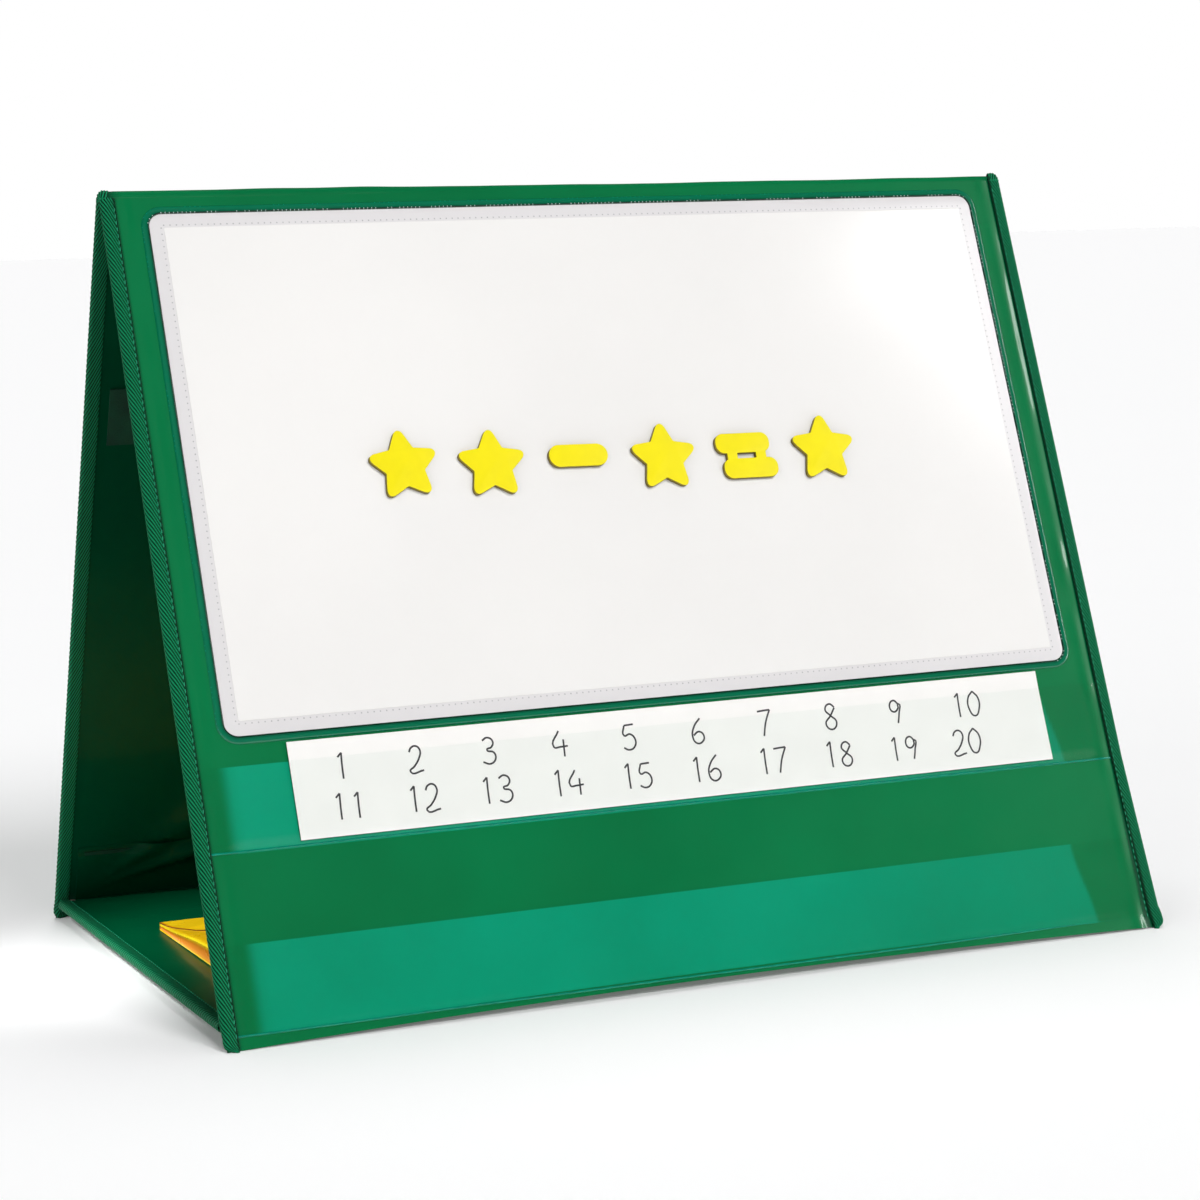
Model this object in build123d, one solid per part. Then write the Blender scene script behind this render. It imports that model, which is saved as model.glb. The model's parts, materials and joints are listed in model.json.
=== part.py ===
from build123d import *
import math
import os

# Tabletop pocket chart: three vinyl-covered boards that stand as a tent.
# X runs along the ridge, +Y points to the back, +Z is up, all in mm.
# The origin is on the table, under the middle of the tent.

# Overall size
stand_width = 520.0
stand_depth = 323.5
stand_height = 402.4

# Panel build-up
board_thickness = 2.2
vinyl_thickness = 0.4
binding_thickness = 0.7
binding_width = 7.0
board_edge_inset = 3.0
moving_clearance = 0.3
seat_clearance = 0.05

# Hem that each standing panel rests on
hem_seam_height = 7.4
board_bottom_height = 12.0
board_top_inset = 3.0

# Base panel
base_underside_height = 8.0
base_front_gap = 4.5
base_rear_gap = 3.5
web_bead_radius = 0.7
ridge_wedge_scale = 3.0

# Closure flap and its hook and loop strips
flap_height = 33.0
flap_side_inset = 10.0
hook_thickness = 0.9
hook_strip_height = 28.0
hook_side_inset = 14.0
storage_band_top = 103.6
storage_band_height = 31.8
storage_side_inset = 12.0

# Magnetic write-on board
whiteboard_side_margin = 22.6
whiteboard_bottom_height = 150.7
whiteboard_top_margin = 9.0
whiteboard_thickness = 0.3
whiteboard_corner_radius = 7.0
steel_thickness = 0.35
steel_inset = 7.5
steel_corner_radius = 2.0
steel_clearance = 0.2
rim_width = 4.0
rim_thickness = 0.2

# Clear pockets
film_thickness = 0.3
pocket_foot = 1.5
pocket_foot_above_seam = 0.5
pocket_pitch = 87.6
lower_pocket_depth = 42.5
upper_pocket_depth = 41.0
empty_pocket_gap = 0.6
rear_pocket_top_margin = 20.0

# Sentence strip
strip_height = 48.8
strip_thickness = 0.35
strip_left_margin = 52.0
strip_right_margin = 43.5
strip_seam_gap = 1.6
strip_clearance = 0.3

# Magnetic foam pieces
magnet_thickness = 0.8
foam_thickness = 2.0
magnet_row_drop = 5.5
star_points = 5
star_outer_radius = 22.0
star_inner_radius = 11.0
star_tip_round = 2.8
star_notch_round = 1.2
star_pick_tolerance = 0.01
star_places = [(-124.5, -0.9, -3.0), (-76.8, 1.3, 1.5), (20.0, 3.0, 1.6), (114.5, 3.2, 2.0)]
minus_length = 33.0
minus_height = 11.9
minus_place = (-28.4, -1.0, 1.0)
equals_bar_length = 31.6
equals_bar_height = 10.9
equals_gap = 3.0
equals_shift = 2.9
equals_waist = 22.8
equals_window = 10.9
equals_round = 4.8
equals_place = (68.1, 4.4, 0.5)

# Storage pouch
pouch_length = 230.0
pouch_depth = 145.0
pouch_height = 10.0
pouch_wall = 0.8
pouch_left_margin = 30.5
pouch_centre_y = -12.5
pouch_corner_radius = 8.0
pouch_mouth = 22.0
pouch_flap_reach = 58.0
pouch_flap_taper = 34.0
pouch_flap_radius = 16.0
pouch_bead_radius = 0.9

# Derived sizes
panel_thickness = board_thickness + 2 * vinyl_thickness
leg_depth = panel_thickness + binding_thickness
axis_depth = leg_depth + moving_clearance
half_width = stand_width / 2
inner_half_width = half_width - binding_width
cover_half = half_width - binding_thickness
lean_steps = 40

lean = math.atan(stand_depth / 2 / stand_height)
for step in range(lean_steps):
    apex_height = stand_height + axis_depth / math.sin(lean) - axis_depth
    lean = math.atan(stand_depth / 2 / apex_height)
sin_lean = math.sin(lean)
cos_lean = math.cos(lean)
tan_lean = math.tan(lean)

# Slope height of the ridge fold's axis, and of the ridge along the outer face
axis_slope = (stand_depth / 2 - axis_depth * cos_lean) / sin_lean
ridge_axis_z = axis_slope * cos_lean - axis_depth * sin_lean
board_top = axis_slope - board_top_inset

hem_depth = 2 * vinyl_thickness
tape_bottom_depth = hem_depth + binding_thickness
base_top_z = base_underside_height + panel_thickness


def slope_point(side, u, w):
    """World y and z of a point u up the slope and w out of the outer face."""
    y = side * (stand_depth / 2 - u * sin_lean + w * cos_lean)
    return y, u * cos_lean + w * sin_lean


def floor_u(w):
    """Slope height at which depth w meets the table."""
    return -w * tan_lean


def prism(points, x0, x1):
    """Solid of a y, z outline from x0 to x1."""
    outline = Polyline(*[(x0, y, z) for y, z in points], close=True)
    return extrude(make_face(outline), amount=x1 - x0, dir=(1, 0, 0))


def slope_prism(side, points, x0, x1):
    """Solid of an outline in slope height and depth, from x0 to x1."""
    return prism([slope_point(side, u, w) for u, w in points], x0, x1)


def bar(radius, y, z, x0, x1):
    """Round bar along X."""
    return Pos((x0 + x1) / 2, y, z) * Cylinder(radius, x1 - x0, rotation=(0, 90, 0))


def slope_frame(side):
    """Frame on a panel's outer face: X along the panel, Y up the slope, Z outwards."""
    normal = (0, side * cos_lean, sin_lean)
    return Plane(origin=(0, side * stand_depth / 2, 0), x_dir=(-side, 0, 0), z_dir=normal).location


def rounded_slab(width, height, radius, w0, w1):
    """Flat slab with rounded corners, from depth w0 to w1."""
    return Pos(0, 0, w0) * extrude(RectangleRounded(width, height, radius), amount=w1 - w0)


nodes = {}
front_frame = slope_frame(-1)


def standing_panel(name, side):
    """Board, cover, lining and side bindings of one standing panel."""
    top = axis_slope
    if side > 0:
        top = axis_slope - moving_clearance
    cover = [
        (floor_u(0), 0),
        (top, 0),
        (top, -vinyl_thickness),
        (floor_u(-vinyl_thickness), -vinyl_thickness),
    ]
    nodes[name + "_cover"] = slope_prism(side, cover, -cover_half, cover_half)

    board = [
        (board_bottom_height, -vinyl_thickness),
        (board_top, -vinyl_thickness),
        (board_top, -vinyl_thickness - board_thickness),
        (board_bottom_height, -vinyl_thickness - board_thickness),
    ]
    board_half = half_width - board_edge_inset
    nodes[name + "_board"] = slope_prism(side, board, -board_half, board_half)

    seam = hem_seam_height
    lining = [
        (floor_u(-vinyl_thickness), -vinyl_thickness),
        (seam, -vinyl_thickness),
        (board_bottom_height - vinyl_thickness, -vinyl_thickness - board_thickness),
        (board_top, -vinyl_thickness - board_thickness),
        (board_top, -panel_thickness),
        (board_bottom_height, -panel_thickness),
        (seam + vinyl_thickness, -hem_depth),
        (floor_u(-hem_depth), -hem_depth),
    ]
    nodes[name + "_lining"] = slope_prism(side, lining, -cover_half, cover_half)

    tape_outside = [
        (floor_u(binding_thickness), binding_thickness),
        (top, binding_thickness),
        (top, 0),
        (board_top, -panel_thickness),
        (board_top, -leg_depth),
        (board_bottom_height, -leg_depth),
        (seam + vinyl_thickness, -tape_bottom_depth),
        (floor_u(-tape_bottom_depth), -tape_bottom_depth),
    ]
    tape_inside = [
        (floor_u(0), 0),
        (top, 0),
        (board_top, -panel_thickness),
        (board_bottom_height, -panel_thickness),
        (seam + vinyl_thickness, -hem_depth),
        (floor_u(-hem_depth), -hem_depth),
    ]
    for edge, sign in (("left", -1), ("right", 1)):
        outer_x = sign * half_width
        wall_x = sign * cover_half
        inner_x = sign * inner_half_width
        tape = slope_prism(side, tape_outside, min(inner_x, outer_x), max(inner_x, outer_x))
        tape -= slope_prism(side, tape_inside, min(inner_x, wall_x), max(inner_x, wall_x))
        nodes[f"{name}_binding_{edge}"] = tape


standing_panel("front", -1)
standing_panel("rear", 1)

# Ridge fold: the vinyl that rounds the ridge between the two panels
ridge_ring = bar(axis_depth, 0, ridge_axis_z, -cover_half, cover_half)
ridge_ring -= bar(axis_depth - vinyl_thickness, 0, ridge_axis_z, -half_width, half_width)
wedge_reach = ridge_wedge_scale * axis_depth
ridge_wedge = prism(
    [
        (0, ridge_axis_z),
        (-wedge_reach * cos_lean, ridge_axis_z + wedge_reach * sin_lean),
        (0, ridge_axis_z + wedge_reach / sin_lean),
        (wedge_reach * cos_lean, ridge_axis_z + wedge_reach * sin_lean),
    ],
    -half_width,
    half_width,
)
nodes["ridge_fold_vinyl"] = ridge_ring & ridge_wedge

# Base panel, with its hinge strip along the inside of the front hem
base_axis_z = base_underside_height - binding_thickness - moving_clearance
base_axis_u = (base_axis_z + axis_depth * sin_lean) / cos_lean
base_axis_y = slope_point(-1, base_axis_u, -axis_depth)[0]
base_front_y = base_axis_y + base_front_gap
rear_leg_u = (base_top_z + binding_thickness + leg_depth * sin_lean) / cos_lean
base_rear_y = slope_point(1, rear_leg_u, -leg_depth)[0] - base_rear_gap


def base_layer(z0, z1, half):
    """Flat layer of the base panel."""
    return prism([(base_front_y, z0), (base_rear_y, z0), (base_rear_y, z1), (base_front_y, z1)], -half, half)


nodes["base_cover"] = base_layer(base_underside_height, base_underside_height + vinyl_thickness, cover_half)
nodes["base_board"] = base_layer(
    base_underside_height + vinyl_thickness,
    base_top_z - vinyl_thickness,
    half_width - board_edge_inset,
)
base_lining_z = base_top_z - vinyl_thickness
nodes["base_lining"] = base_layer(base_lining_z, base_top_z, cover_half)
base_depth = base_rear_y - base_front_y
base_middle_y = (base_front_y + base_rear_y) / 2
base_middle_z = (base_underside_height + base_top_z) / 2
for edge, sign in (("left", -1), ("right", 1)):
    outer_x = sign * half_width
    wall_x = sign * cover_half
    inner_x = sign * inner_half_width
    tape = Pos((inner_x + outer_x) / 2, base_middle_y, base_middle_z) * Box(
        binding_width, base_depth, panel_thickness + 2 * binding_thickness
    )
    tape -= Pos((inner_x + wall_x) / 2, base_middle_y, base_middle_z) * Box(
        abs(wall_x - inner_x), base_depth, panel_thickness
    )
    nodes[f"base_binding_{edge}"] = tape

web_half = inner_half_width - moving_clearance
web = prism(
    [
        (base_front_y, base_underside_height),
        (base_front_y, base_underside_height + vinyl_thickness),
        (base_axis_y, base_axis_z + vinyl_thickness / 2),
        (base_axis_y, base_axis_z - vinyl_thickness / 2),
    ],
    -web_half,
    web_half,
)
nodes["base_hinge_strip"] = web + bar(web_bead_radius, base_axis_y, base_axis_z, -web_half, web_half)

# Closure flap on the base's rear edge, pressed against the rear lining
flap_axis_y = base_rear_y + web_bead_radius + moving_clearance
flap_axis_z = base_top_z - web_bead_radius
hook_outer = panel_thickness + hook_thickness + seat_clearance
flap_outer = hook_outer + hook_thickness
flap_inner = flap_outer + vinyl_thickness
flap_foot_u = (base_top_z + flap_inner * sin_lean) / cos_lean
flap_half = half_width - flap_side_inset
flap_sheet = slope_prism(
    1,
    [
        (flap_foot_u, -flap_outer),
        (flap_foot_u + flap_height, -flap_outer),
        (flap_foot_u + flap_height, -flap_inner),
        (flap_foot_u, -flap_inner),
    ],
    -flap_half,
    flap_half,
)
flap_foot = prism(
    [
        (flap_axis_y, flap_axis_z - vinyl_thickness / 2),
        slope_point(1, flap_foot_u, -flap_outer),
        slope_point(1, flap_foot_u, -flap_inner),
        (flap_axis_y, flap_axis_z + vinyl_thickness / 2),
    ],
    -flap_half,
    flap_half,
)
flap_bead = bar(web_bead_radius, flap_axis_y, flap_axis_z, -flap_half, flap_half)
nodes["closure_flap"] = flap_sheet + flap_foot + flap_bead

hook_u = flap_foot_u + (flap_height - hook_strip_height) / 2
hook_half = half_width - hook_side_inset
nodes["closure_hook_strip"] = slope_prism(
    1,
    [
        (hook_u, -hook_outer),
        (hook_u + hook_strip_height, -hook_outer),
        (hook_u + hook_strip_height, -flap_outer),
        (hook_u, -flap_outer),
    ],
    -hook_half,
    hook_half,
)
nodes["closure_loop_strip"] = slope_prism(
    1,
    [
        (hook_u, -panel_thickness),
        (hook_u + hook_strip_height, -panel_thickness),
        (hook_u + hook_strip_height, -panel_thickness - hook_thickness),
        (hook_u, -panel_thickness - hook_thickness),
    ],
    -hook_half,
    hook_half,
)
band_top_u = axis_slope - storage_band_top
storage_half = half_width - storage_side_inset
nodes["storage_loop_band"] = slope_prism(
    1,
    [
        (band_top_u - storage_band_height, -panel_thickness),
        (band_top_u, -panel_thickness),
        (band_top_u, -panel_thickness - hook_thickness),
        (band_top_u - storage_band_height, -panel_thickness - hook_thickness),
    ],
    -storage_half,
    storage_half,
)

# Write-on sheet over its steel sheet, with a clear welded rim
whiteboard_width = stand_width - 2 * whiteboard_side_margin
whiteboard_top = axis_slope - whiteboard_top_margin
whiteboard_height = whiteboard_top - whiteboard_bottom_height
whiteboard_middle = (whiteboard_top + whiteboard_bottom_height) / 2
whiteboard_place = front_frame * Pos(0, whiteboard_middle, 0)
steel_width = whiteboard_width - 2 * steel_inset
steel_height = whiteboard_height - 2 * steel_inset
field_face = steel_thickness + whiteboard_thickness
field_width = steel_width + 2 * whiteboard_thickness
field_height = steel_height + 2 * whiteboard_thickness
field_radius = steel_corner_radius + whiteboard_thickness

nodes["steel_sheet"] = whiteboard_place * rounded_slab(
    steel_width - 2 * steel_clearance,
    steel_height - 2 * steel_clearance,
    steel_corner_radius,
    0,
    steel_thickness,
)
sheet = rounded_slab(whiteboard_width, whiteboard_height, whiteboard_corner_radius, 0, whiteboard_thickness)
sheet += rounded_slab(field_width, field_height, field_radius, 0, field_face)
sheet -= rounded_slab(steel_width, steel_height, steel_corner_radius, 0, steel_thickness)
nodes["write_on_sheet"] = whiteboard_place * sheet

rim_face = whiteboard_thickness + rim_thickness
rim = rounded_slab(
    whiteboard_width + 2 * rim_width,
    whiteboard_height + 2 * rim_width,
    whiteboard_corner_radius + rim_width,
    0,
    rim_face,
)
rim -= rounded_slab(whiteboard_width, whiteboard_height, whiteboard_corner_radius, 0, whiteboard_thickness)
rim -= rounded_slab(
    field_width + 2 * seat_clearance,
    field_height + 2 * seat_clearance,
    field_radius + seat_clearance,
    0,
    rim_face,
)
nodes["clear_rim"] = whiteboard_place * rim

# Sentence strip, standing in the upper pocket and clear of the write-on sheet
strip_back = field_face + strip_clearance
strip_face = strip_back + strip_thickness
upper_pocket_gap = strip_face + strip_clearance
upper_seam = hem_seam_height + pocket_pitch
strip_x0 = -half_width + strip_left_margin
strip_x1 = half_width - strip_right_margin
strip_bottom = upper_seam + strip_seam_gap
nodes["sentence_strip"] = front_frame * Pos(
    (strip_x0 + strip_x1) / 2, strip_bottom + strip_height / 2, (strip_back + strip_face) / 2
) * Box(strip_x1 - strip_x0, strip_height, strip_thickness)


def pocket(side, seam, depth, gap, ramp):
    """Clear pocket film, welded along its bottom and open at the top."""
    low = seam - pocket_foot
    foot_end = seam + pocket_foot_above_seam
    ramp_end = foot_end + ramp
    mouth = seam + depth
    return slope_prism(
        side,
        [
            (low, 0),
            (foot_end, 0),
            (ramp_end, gap),
            (mouth, gap),
            (mouth, gap + film_thickness),
            (ramp_end, gap + film_thickness),
            (foot_end, film_thickness),
            (low, film_thickness),
        ],
        -inner_half_width,
        inner_half_width,
    )


strip_ramp = strip_seam_gap / 2
nodes["upper_pocket"] = pocket(-1, upper_seam, upper_pocket_depth, upper_pocket_gap, strip_ramp)
nodes["lower_pocket"] = pocket(-1, hem_seam_height, lower_pocket_depth, empty_pocket_gap, strip_seam_gap)
rear_room = axis_slope - rear_pocket_top_margin - lower_pocket_depth - hem_seam_height
rear_rows = int(rear_room / pocket_pitch) + 1
for row in range(rear_rows):
    seam = hem_seam_height + row * pocket_pitch
    nodes[f"rear_pocket_{row + 1}"] = pocket(1, seam, lower_pocket_depth, empty_pocket_gap, strip_seam_gap)


def star_outline():
    """Five-pointed star with rounded tips and notches."""
    points = []
    for corner in range(2 * star_points):
        radius = star_outer_radius if corner % 2 == 0 else star_inner_radius
        angle = math.pi / 2 + math.pi / star_points * corner
        points.append((radius * math.cos(angle), radius * math.sin(angle)))
    face = make_face(Polyline(*points, close=True))
    middle = (star_outer_radius + star_inner_radius) / 2
    tips = [v for v in face.vertices() if math.hypot(v.X, v.Y) > middle]
    face = fillet(tips, star_tip_round)
    notches = [v for v in face.vertices() if math.hypot(v.X, v.Y) < star_inner_radius + star_pick_tolerance]
    return fillet(notches, star_notch_round)


def equals_outline():
    """Two rounded bars side by side, joined by a waist with a window."""
    rise = (equals_bar_height + equals_gap) / 2
    one_bar = RectangleRounded(equals_bar_length, equals_bar_height, equals_round)
    upper = Pos(-equals_shift / 2, rise) * one_bar
    lower = Pos(equals_shift / 2, -rise) * one_bar
    waist = Rectangle(equals_waist, equals_gap + equals_bar_height)
    window = Rectangle(equals_window, equals_gap)
    return upper + waist + lower - window


def magnet_piece(name, outline, place):
    """Foam shape on a magnet sheet, held to the write-on face."""
    x, drop, turn = place
    u = whiteboard_middle - magnet_row_drop - drop
    seat = front_frame * Pos(x, u, field_face + seat_clearance) * Rot(0, 0, -turn)
    nodes[name + "_magnet"] = seat * extrude(outline, amount=magnet_thickness)
    nodes[name + "_foam"] = seat * Pos(0, 0, magnet_thickness) * extrude(outline, amount=foam_thickness)


for index, place in enumerate(star_places):
    magnet_piece(f"star_{index + 1}", star_outline(), place)
minus_outline = RectangleRounded(minus_length, minus_height, minus_height / 2 - seat_clearance)
magnet_piece("minus", minus_outline, minus_place)
magnet_piece("equals", equals_outline(), equals_place)

# Storage pouch on the base, with a slot mouth at its back under the flap
pouch_z0 = base_top_z + moving_clearance
pouch_z1 = pouch_z0 + pouch_height
pouch_x0 = -half_width + pouch_left_margin
pouch_x = pouch_x0 + pouch_length / 2
pouch_rear_y = pouch_centre_y + pouch_depth / 2
pouch = Pos(pouch_x, pouch_centre_y, pouch_z0) * extrude(
    RectangleRounded(pouch_length, pouch_depth, pouch_corner_radius), amount=pouch_height
)
room_length = pouch_length - 2 * pouch_wall
room_depth = pouch_depth - 2 * pouch_wall
pouch -= Pos(pouch_x, pouch_centre_y, pouch_z0 + pouch_wall) * extrude(
    RectangleRounded(room_length, room_depth, pouch_corner_radius - pouch_wall),
    amount=pouch_height - 2 * pouch_wall,
)
mouth_length = pouch_length - 2 * pouch_corner_radius
pouch -= Pos(pouch_x, pouch_rear_y - pouch_wall - pouch_mouth / 2, pouch_z1 - pouch_wall / 2) * Box(
    mouth_length, pouch_mouth, 2 * pouch_wall
)
nodes["pouch_bag"] = pouch

# The pouch flap turns on a bead along the bag's rear top edge
flap_lift = moving_clearance + pouch_bead_radius
pouch_axis_y = pouch_rear_y - pouch_bead_radius
pouch_axis_z = pouch_z1 + flap_lift
flap_half_length = mouth_length / 2
flap_corners = [
    (-flap_half_length, 0),
    (flap_half_length, 0),
    (flap_half_length - pouch_flap_taper, -pouch_flap_reach),
    (-flap_half_length + pouch_flap_taper, -pouch_flap_reach),
]
lid_face = make_face(Polyline(*flap_corners, close=True))
front_corners = [v for v in lid_face.vertices() if v.Y < -pouch_flap_reach / 2]
lid_face = fillet(front_corners, pouch_flap_radius)
lid = Pos(pouch_x, pouch_axis_y, pouch_axis_z - pouch_bead_radius) * extrude(lid_face, amount=pouch_wall)
flap_x0 = pouch_x - flap_half_length
lid += bar(pouch_bead_radius, pouch_axis_y, pouch_axis_z, flap_x0, flap_x0 + mouth_length)
nodes["pouch_flap"] = lid

os.makedirs("parts", exist_ok=True)
for name, shape in nodes.items():
    solid = shape
    if len(shape.solids()) == 1:
        solid = shape.solids()[0]
    solid.label = name
    export_step(solid, f"parts/{name}.step")

print("nodes", len(nodes), "rear rows", rear_rows)
print("lean", round(math.degrees(lean), 4), "ridge axis z", round(ridge_axis_z, 4))
print("axis slope", round(axis_slope, 4))
print("base axis y z", round(base_axis_y, 4), round(base_axis_z, 4))
print("base front rear y", round(base_front_y, 4), round(base_rear_y, 4), "top z", round(base_top_z, 4))
print("flap axis y z", round(flap_axis_y, 4), round(flap_axis_z, 4))
print("pouch axis y z", round(pouch_axis_y, 4), round(pouch_axis_z, 4))
print("pouch x", pouch_x0, pouch_x0 + pouch_length)
print("outward normal y z", round(-cos_lean, 6), round(sin_lean, 6))
print("up the slope y z", round(sin_lean, 6), round(cos_lean, 6))
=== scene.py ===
import bpy
import json
import math
from mathutils import Matrix, Vector, noise


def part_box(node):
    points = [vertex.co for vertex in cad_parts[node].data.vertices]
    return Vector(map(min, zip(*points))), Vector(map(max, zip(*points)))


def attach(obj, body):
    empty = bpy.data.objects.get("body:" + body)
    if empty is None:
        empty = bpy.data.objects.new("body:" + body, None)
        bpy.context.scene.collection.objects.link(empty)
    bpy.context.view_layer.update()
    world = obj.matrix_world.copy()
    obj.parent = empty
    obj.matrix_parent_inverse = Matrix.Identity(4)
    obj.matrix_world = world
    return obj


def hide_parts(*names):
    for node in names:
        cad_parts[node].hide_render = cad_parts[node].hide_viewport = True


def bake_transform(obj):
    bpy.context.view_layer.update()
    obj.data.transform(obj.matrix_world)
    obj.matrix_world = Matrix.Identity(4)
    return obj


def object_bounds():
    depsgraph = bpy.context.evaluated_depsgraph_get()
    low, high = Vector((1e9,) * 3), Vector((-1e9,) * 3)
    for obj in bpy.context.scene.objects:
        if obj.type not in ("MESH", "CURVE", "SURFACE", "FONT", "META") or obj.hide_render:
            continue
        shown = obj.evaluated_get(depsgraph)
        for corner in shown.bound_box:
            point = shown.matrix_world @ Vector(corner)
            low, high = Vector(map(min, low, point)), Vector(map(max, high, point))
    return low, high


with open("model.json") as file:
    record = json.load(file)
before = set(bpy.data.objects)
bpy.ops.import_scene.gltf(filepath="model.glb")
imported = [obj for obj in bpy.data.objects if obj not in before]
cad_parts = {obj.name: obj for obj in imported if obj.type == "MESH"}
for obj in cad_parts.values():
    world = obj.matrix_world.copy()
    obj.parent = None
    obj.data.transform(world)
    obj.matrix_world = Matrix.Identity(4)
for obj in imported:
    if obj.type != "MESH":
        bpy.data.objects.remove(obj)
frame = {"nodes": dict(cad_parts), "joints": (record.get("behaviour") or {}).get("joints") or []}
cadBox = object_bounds()
mm = 0.001

# directions of the leaning panels, taken from the joints
joints = {j["name"]: j for j in frame["joints"]}
upSlope = Vector(joints["strip_slide"]["axis"]).normalized()
outward = Vector(joints["star_1_lift"]["axis"]).normalized()
frontFoot = Vector((0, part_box("front_cover")[0].y, 0))
ridgeAxis = Vector(joints["ridge_fold"]["pos_m"])
baseAxis = Vector(joints["front_fold"]["pos_m"])
flapAxis = Vector(joints["closure_flap_fold"]["pos_m"])
slopeLength = (ridgeAxis - frontFoot).dot(upSlope)
halfWidth = cadBox[1].x


def mirrored(v):
    return Vector((v.x, -v.y, v.z))


def panelPlace(side):  # x along the panel, y up the slope, z out of its outer face
    up, out, foot = upSlope, outward, frontFoot
    if side == "rear":
        up, out, foot = mirrored(up), mirrored(out), mirrored(foot)
    place = Matrix((up.cross(out), up, out)).transposed().to_4x4()
    place.translation = foot
    return place


places = {"front": panelPlace("front"), "rear": panelPlace("rear"), "base": Matrix.Identity(4)}
bodies = {"front": "front_panel", "rear": "rear_panel", "base": "base"}


def nodeRange(node, side):  # lowest and highest corner of a node in its panel's own directions
    back = places[side].inverted()
    points = [back @ v.co for v in frame["nodes"][node].data.vertices]
    low = Vector([min(p[k] for p in points) for k in range(3)])
    high = Vector([max(p[k] for p in points) for k in range(3)])
    return low, high


# small tools for modelling
def clearSelection():
    if bpy.context.object and bpy.context.object.mode != "OBJECT":
        bpy.ops.object.mode_set(mode="OBJECT")
    bpy.ops.object.select_all(action="DESELECT")


def named(name):
    piece = bpy.context.object
    piece.name = name
    piece.data.name = name
    return piece


def choose(piece):
    clearSelection()
    piece.select_set(True)
    bpy.context.view_layer.objects.active = piece


def applyAll(piece):
    choose(piece)
    for modifier in list(piece.modifiers):
        bpy.ops.object.modifier_apply(modifier=modifier.name)


def smooth(piece, degrees=40):
    choose(piece)
    bpy.ops.object.shade_smooth_by_angle(angle=math.radians(degrees))


def pick(piece, kind, test):  # selects vertices, edges or faces by a test and stays in edit mode
    choose(piece)
    bpy.ops.object.mode_set(mode="EDIT")
    bpy.ops.mesh.select_mode(type=kind)
    bpy.ops.mesh.select_all(action="DESELECT")
    bpy.ops.object.mode_set(mode="OBJECT")
    mesh = piece.data
    for part in {"VERT": mesh.vertices, "EDGE": mesh.edges, "FACE": mesh.polygons}[kind]:
        part.select = test(part)
    bpy.ops.object.mode_set(mode="EDIT")


def leaveEdit():
    bpy.ops.object.mode_set(mode="OBJECT")


def tidyNormals(piece):
    choose(piece)
    bpy.ops.object.mode_set(mode="EDIT")
    bpy.ops.mesh.select_all(action="SELECT")
    bpy.ops.mesh.remove_doubles(threshold=0.00001)
    bpy.ops.mesh.normals_make_consistent(inside=False)
    leaveEdit()


def addWall(piece, thickness, offset=-1):
    piece.modifiers.new("wall", "SOLIDIFY").thickness = thickness
    piece.modifiers["wall"].offset = offset
    applyAll(piece)


def stops(low, high, step, *extra):  # even places from low to high, and some more between them
    count = max(round((high - low) / step), 1)
    even = [low + (high - low) * k / count for k in range(count + 1)]
    near = step * 0.12
    inner = [e for e in extra if low + near < e < high - near]
    kept = [low] + [e for e in even[1:-1] if all(abs(e - x) > near for x in inner)] + [high]
    return sorted(kept + inner)


def softGrid(name, columns, rows, pointAt):  # a grid laid over a soft surface, point by point
    clearSelection()
    across, down = len(columns) - 1, len(rows) - 1
    bpy.ops.mesh.primitive_grid_add(x_subdivisions=across, y_subdivisions=down, size=1, calc_uvs=True)
    sheet = named(name)
    for v in sheet.data.vertices:
        v.co = pointAt(columns[round((v.co.x + 0.5) * across)], rows[round((v.co.y + 0.5) * down)])
    return sheet


def ease(x, low, high):
    t = min(max((x - low) / (high - low), 0.0), 1.0)
    return t * t * (3 - 2 * t)


def ripple(x, y, size, seed=0.0):  # smooth noise from about -1 to 1 over a panel
    return noise.noise(Vector((x / size, y / size, seed))) * 1.4


def addShare(piece, name, shareAt):  # a value from 0 to 1 for the material, point by point
    share = piece.data.attributes.new(name, "FLOAT", "POINT")
    for v in piece.data.vertices:
        share.data[v.index].value = shareAt(v.co)


def give(piece, material, slotName, body, *nodes):
    piece.data.materials.clear()
    piece.data.materials.append(material)
    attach(piece, body)
    if nodes:
        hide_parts(*nodes)


def joinRow(name, one, spots):  # copies of one small piece, each with its own mesh, joined
    copies = []
    for spot in spots:
        copy = one.copy()
        copy.data = one.data.copy()
        copy.data.transform(spot)
        bpy.context.collection.objects.link(copy)
        copies.append(copy)
    clearSelection()
    for copy in copies:
        copy.select_set(True)
    bpy.context.view_layer.objects.active = copies[0]
    bpy.ops.object.join()
    return named(name)


def tinyBall(name, segments, rings, radius, size):  # a small ball drawn out to its size
    clearSelection()
    bpy.ops.mesh.primitive_uv_sphere_add(segments=segments, ring_count=rings, radius=radius)
    ball = named(name)
    pick(ball, "VERT", lambda v: True)
    bpy.ops.transform.resize(value=size, center_override=(0, 0, 0))
    leaveEdit()
    return ball


# materials
def startMaterial(name, color, roughness):
    material = bpy.data.materials.new(name)
    material.use_nodes = True
    nodes = material.node_tree.nodes
    shader = nodes["Principled BSDF"]
    shader.inputs["Base Color"].default_value = (*color, 1)
    shader.inputs["Roughness"].default_value = roughness
    material.diffuse_color = (*color, 1)
    return material, nodes, material.node_tree.links, shader


def addNode(nodes, kind, **inputs):
    node = nodes.new(kind)
    for key, value in inputs.items():
        node.inputs[key.replace("_", " ")].default_value = value
    return node


def noiseOf(nodes, links, source, scale, detail=3.0):
    node = addNode(nodes, "ShaderNodeTexNoise", Scale=scale, Detail=detail)
    links.new(source, node.inputs["Vector"])
    return node.outputs["Fac"]


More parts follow.
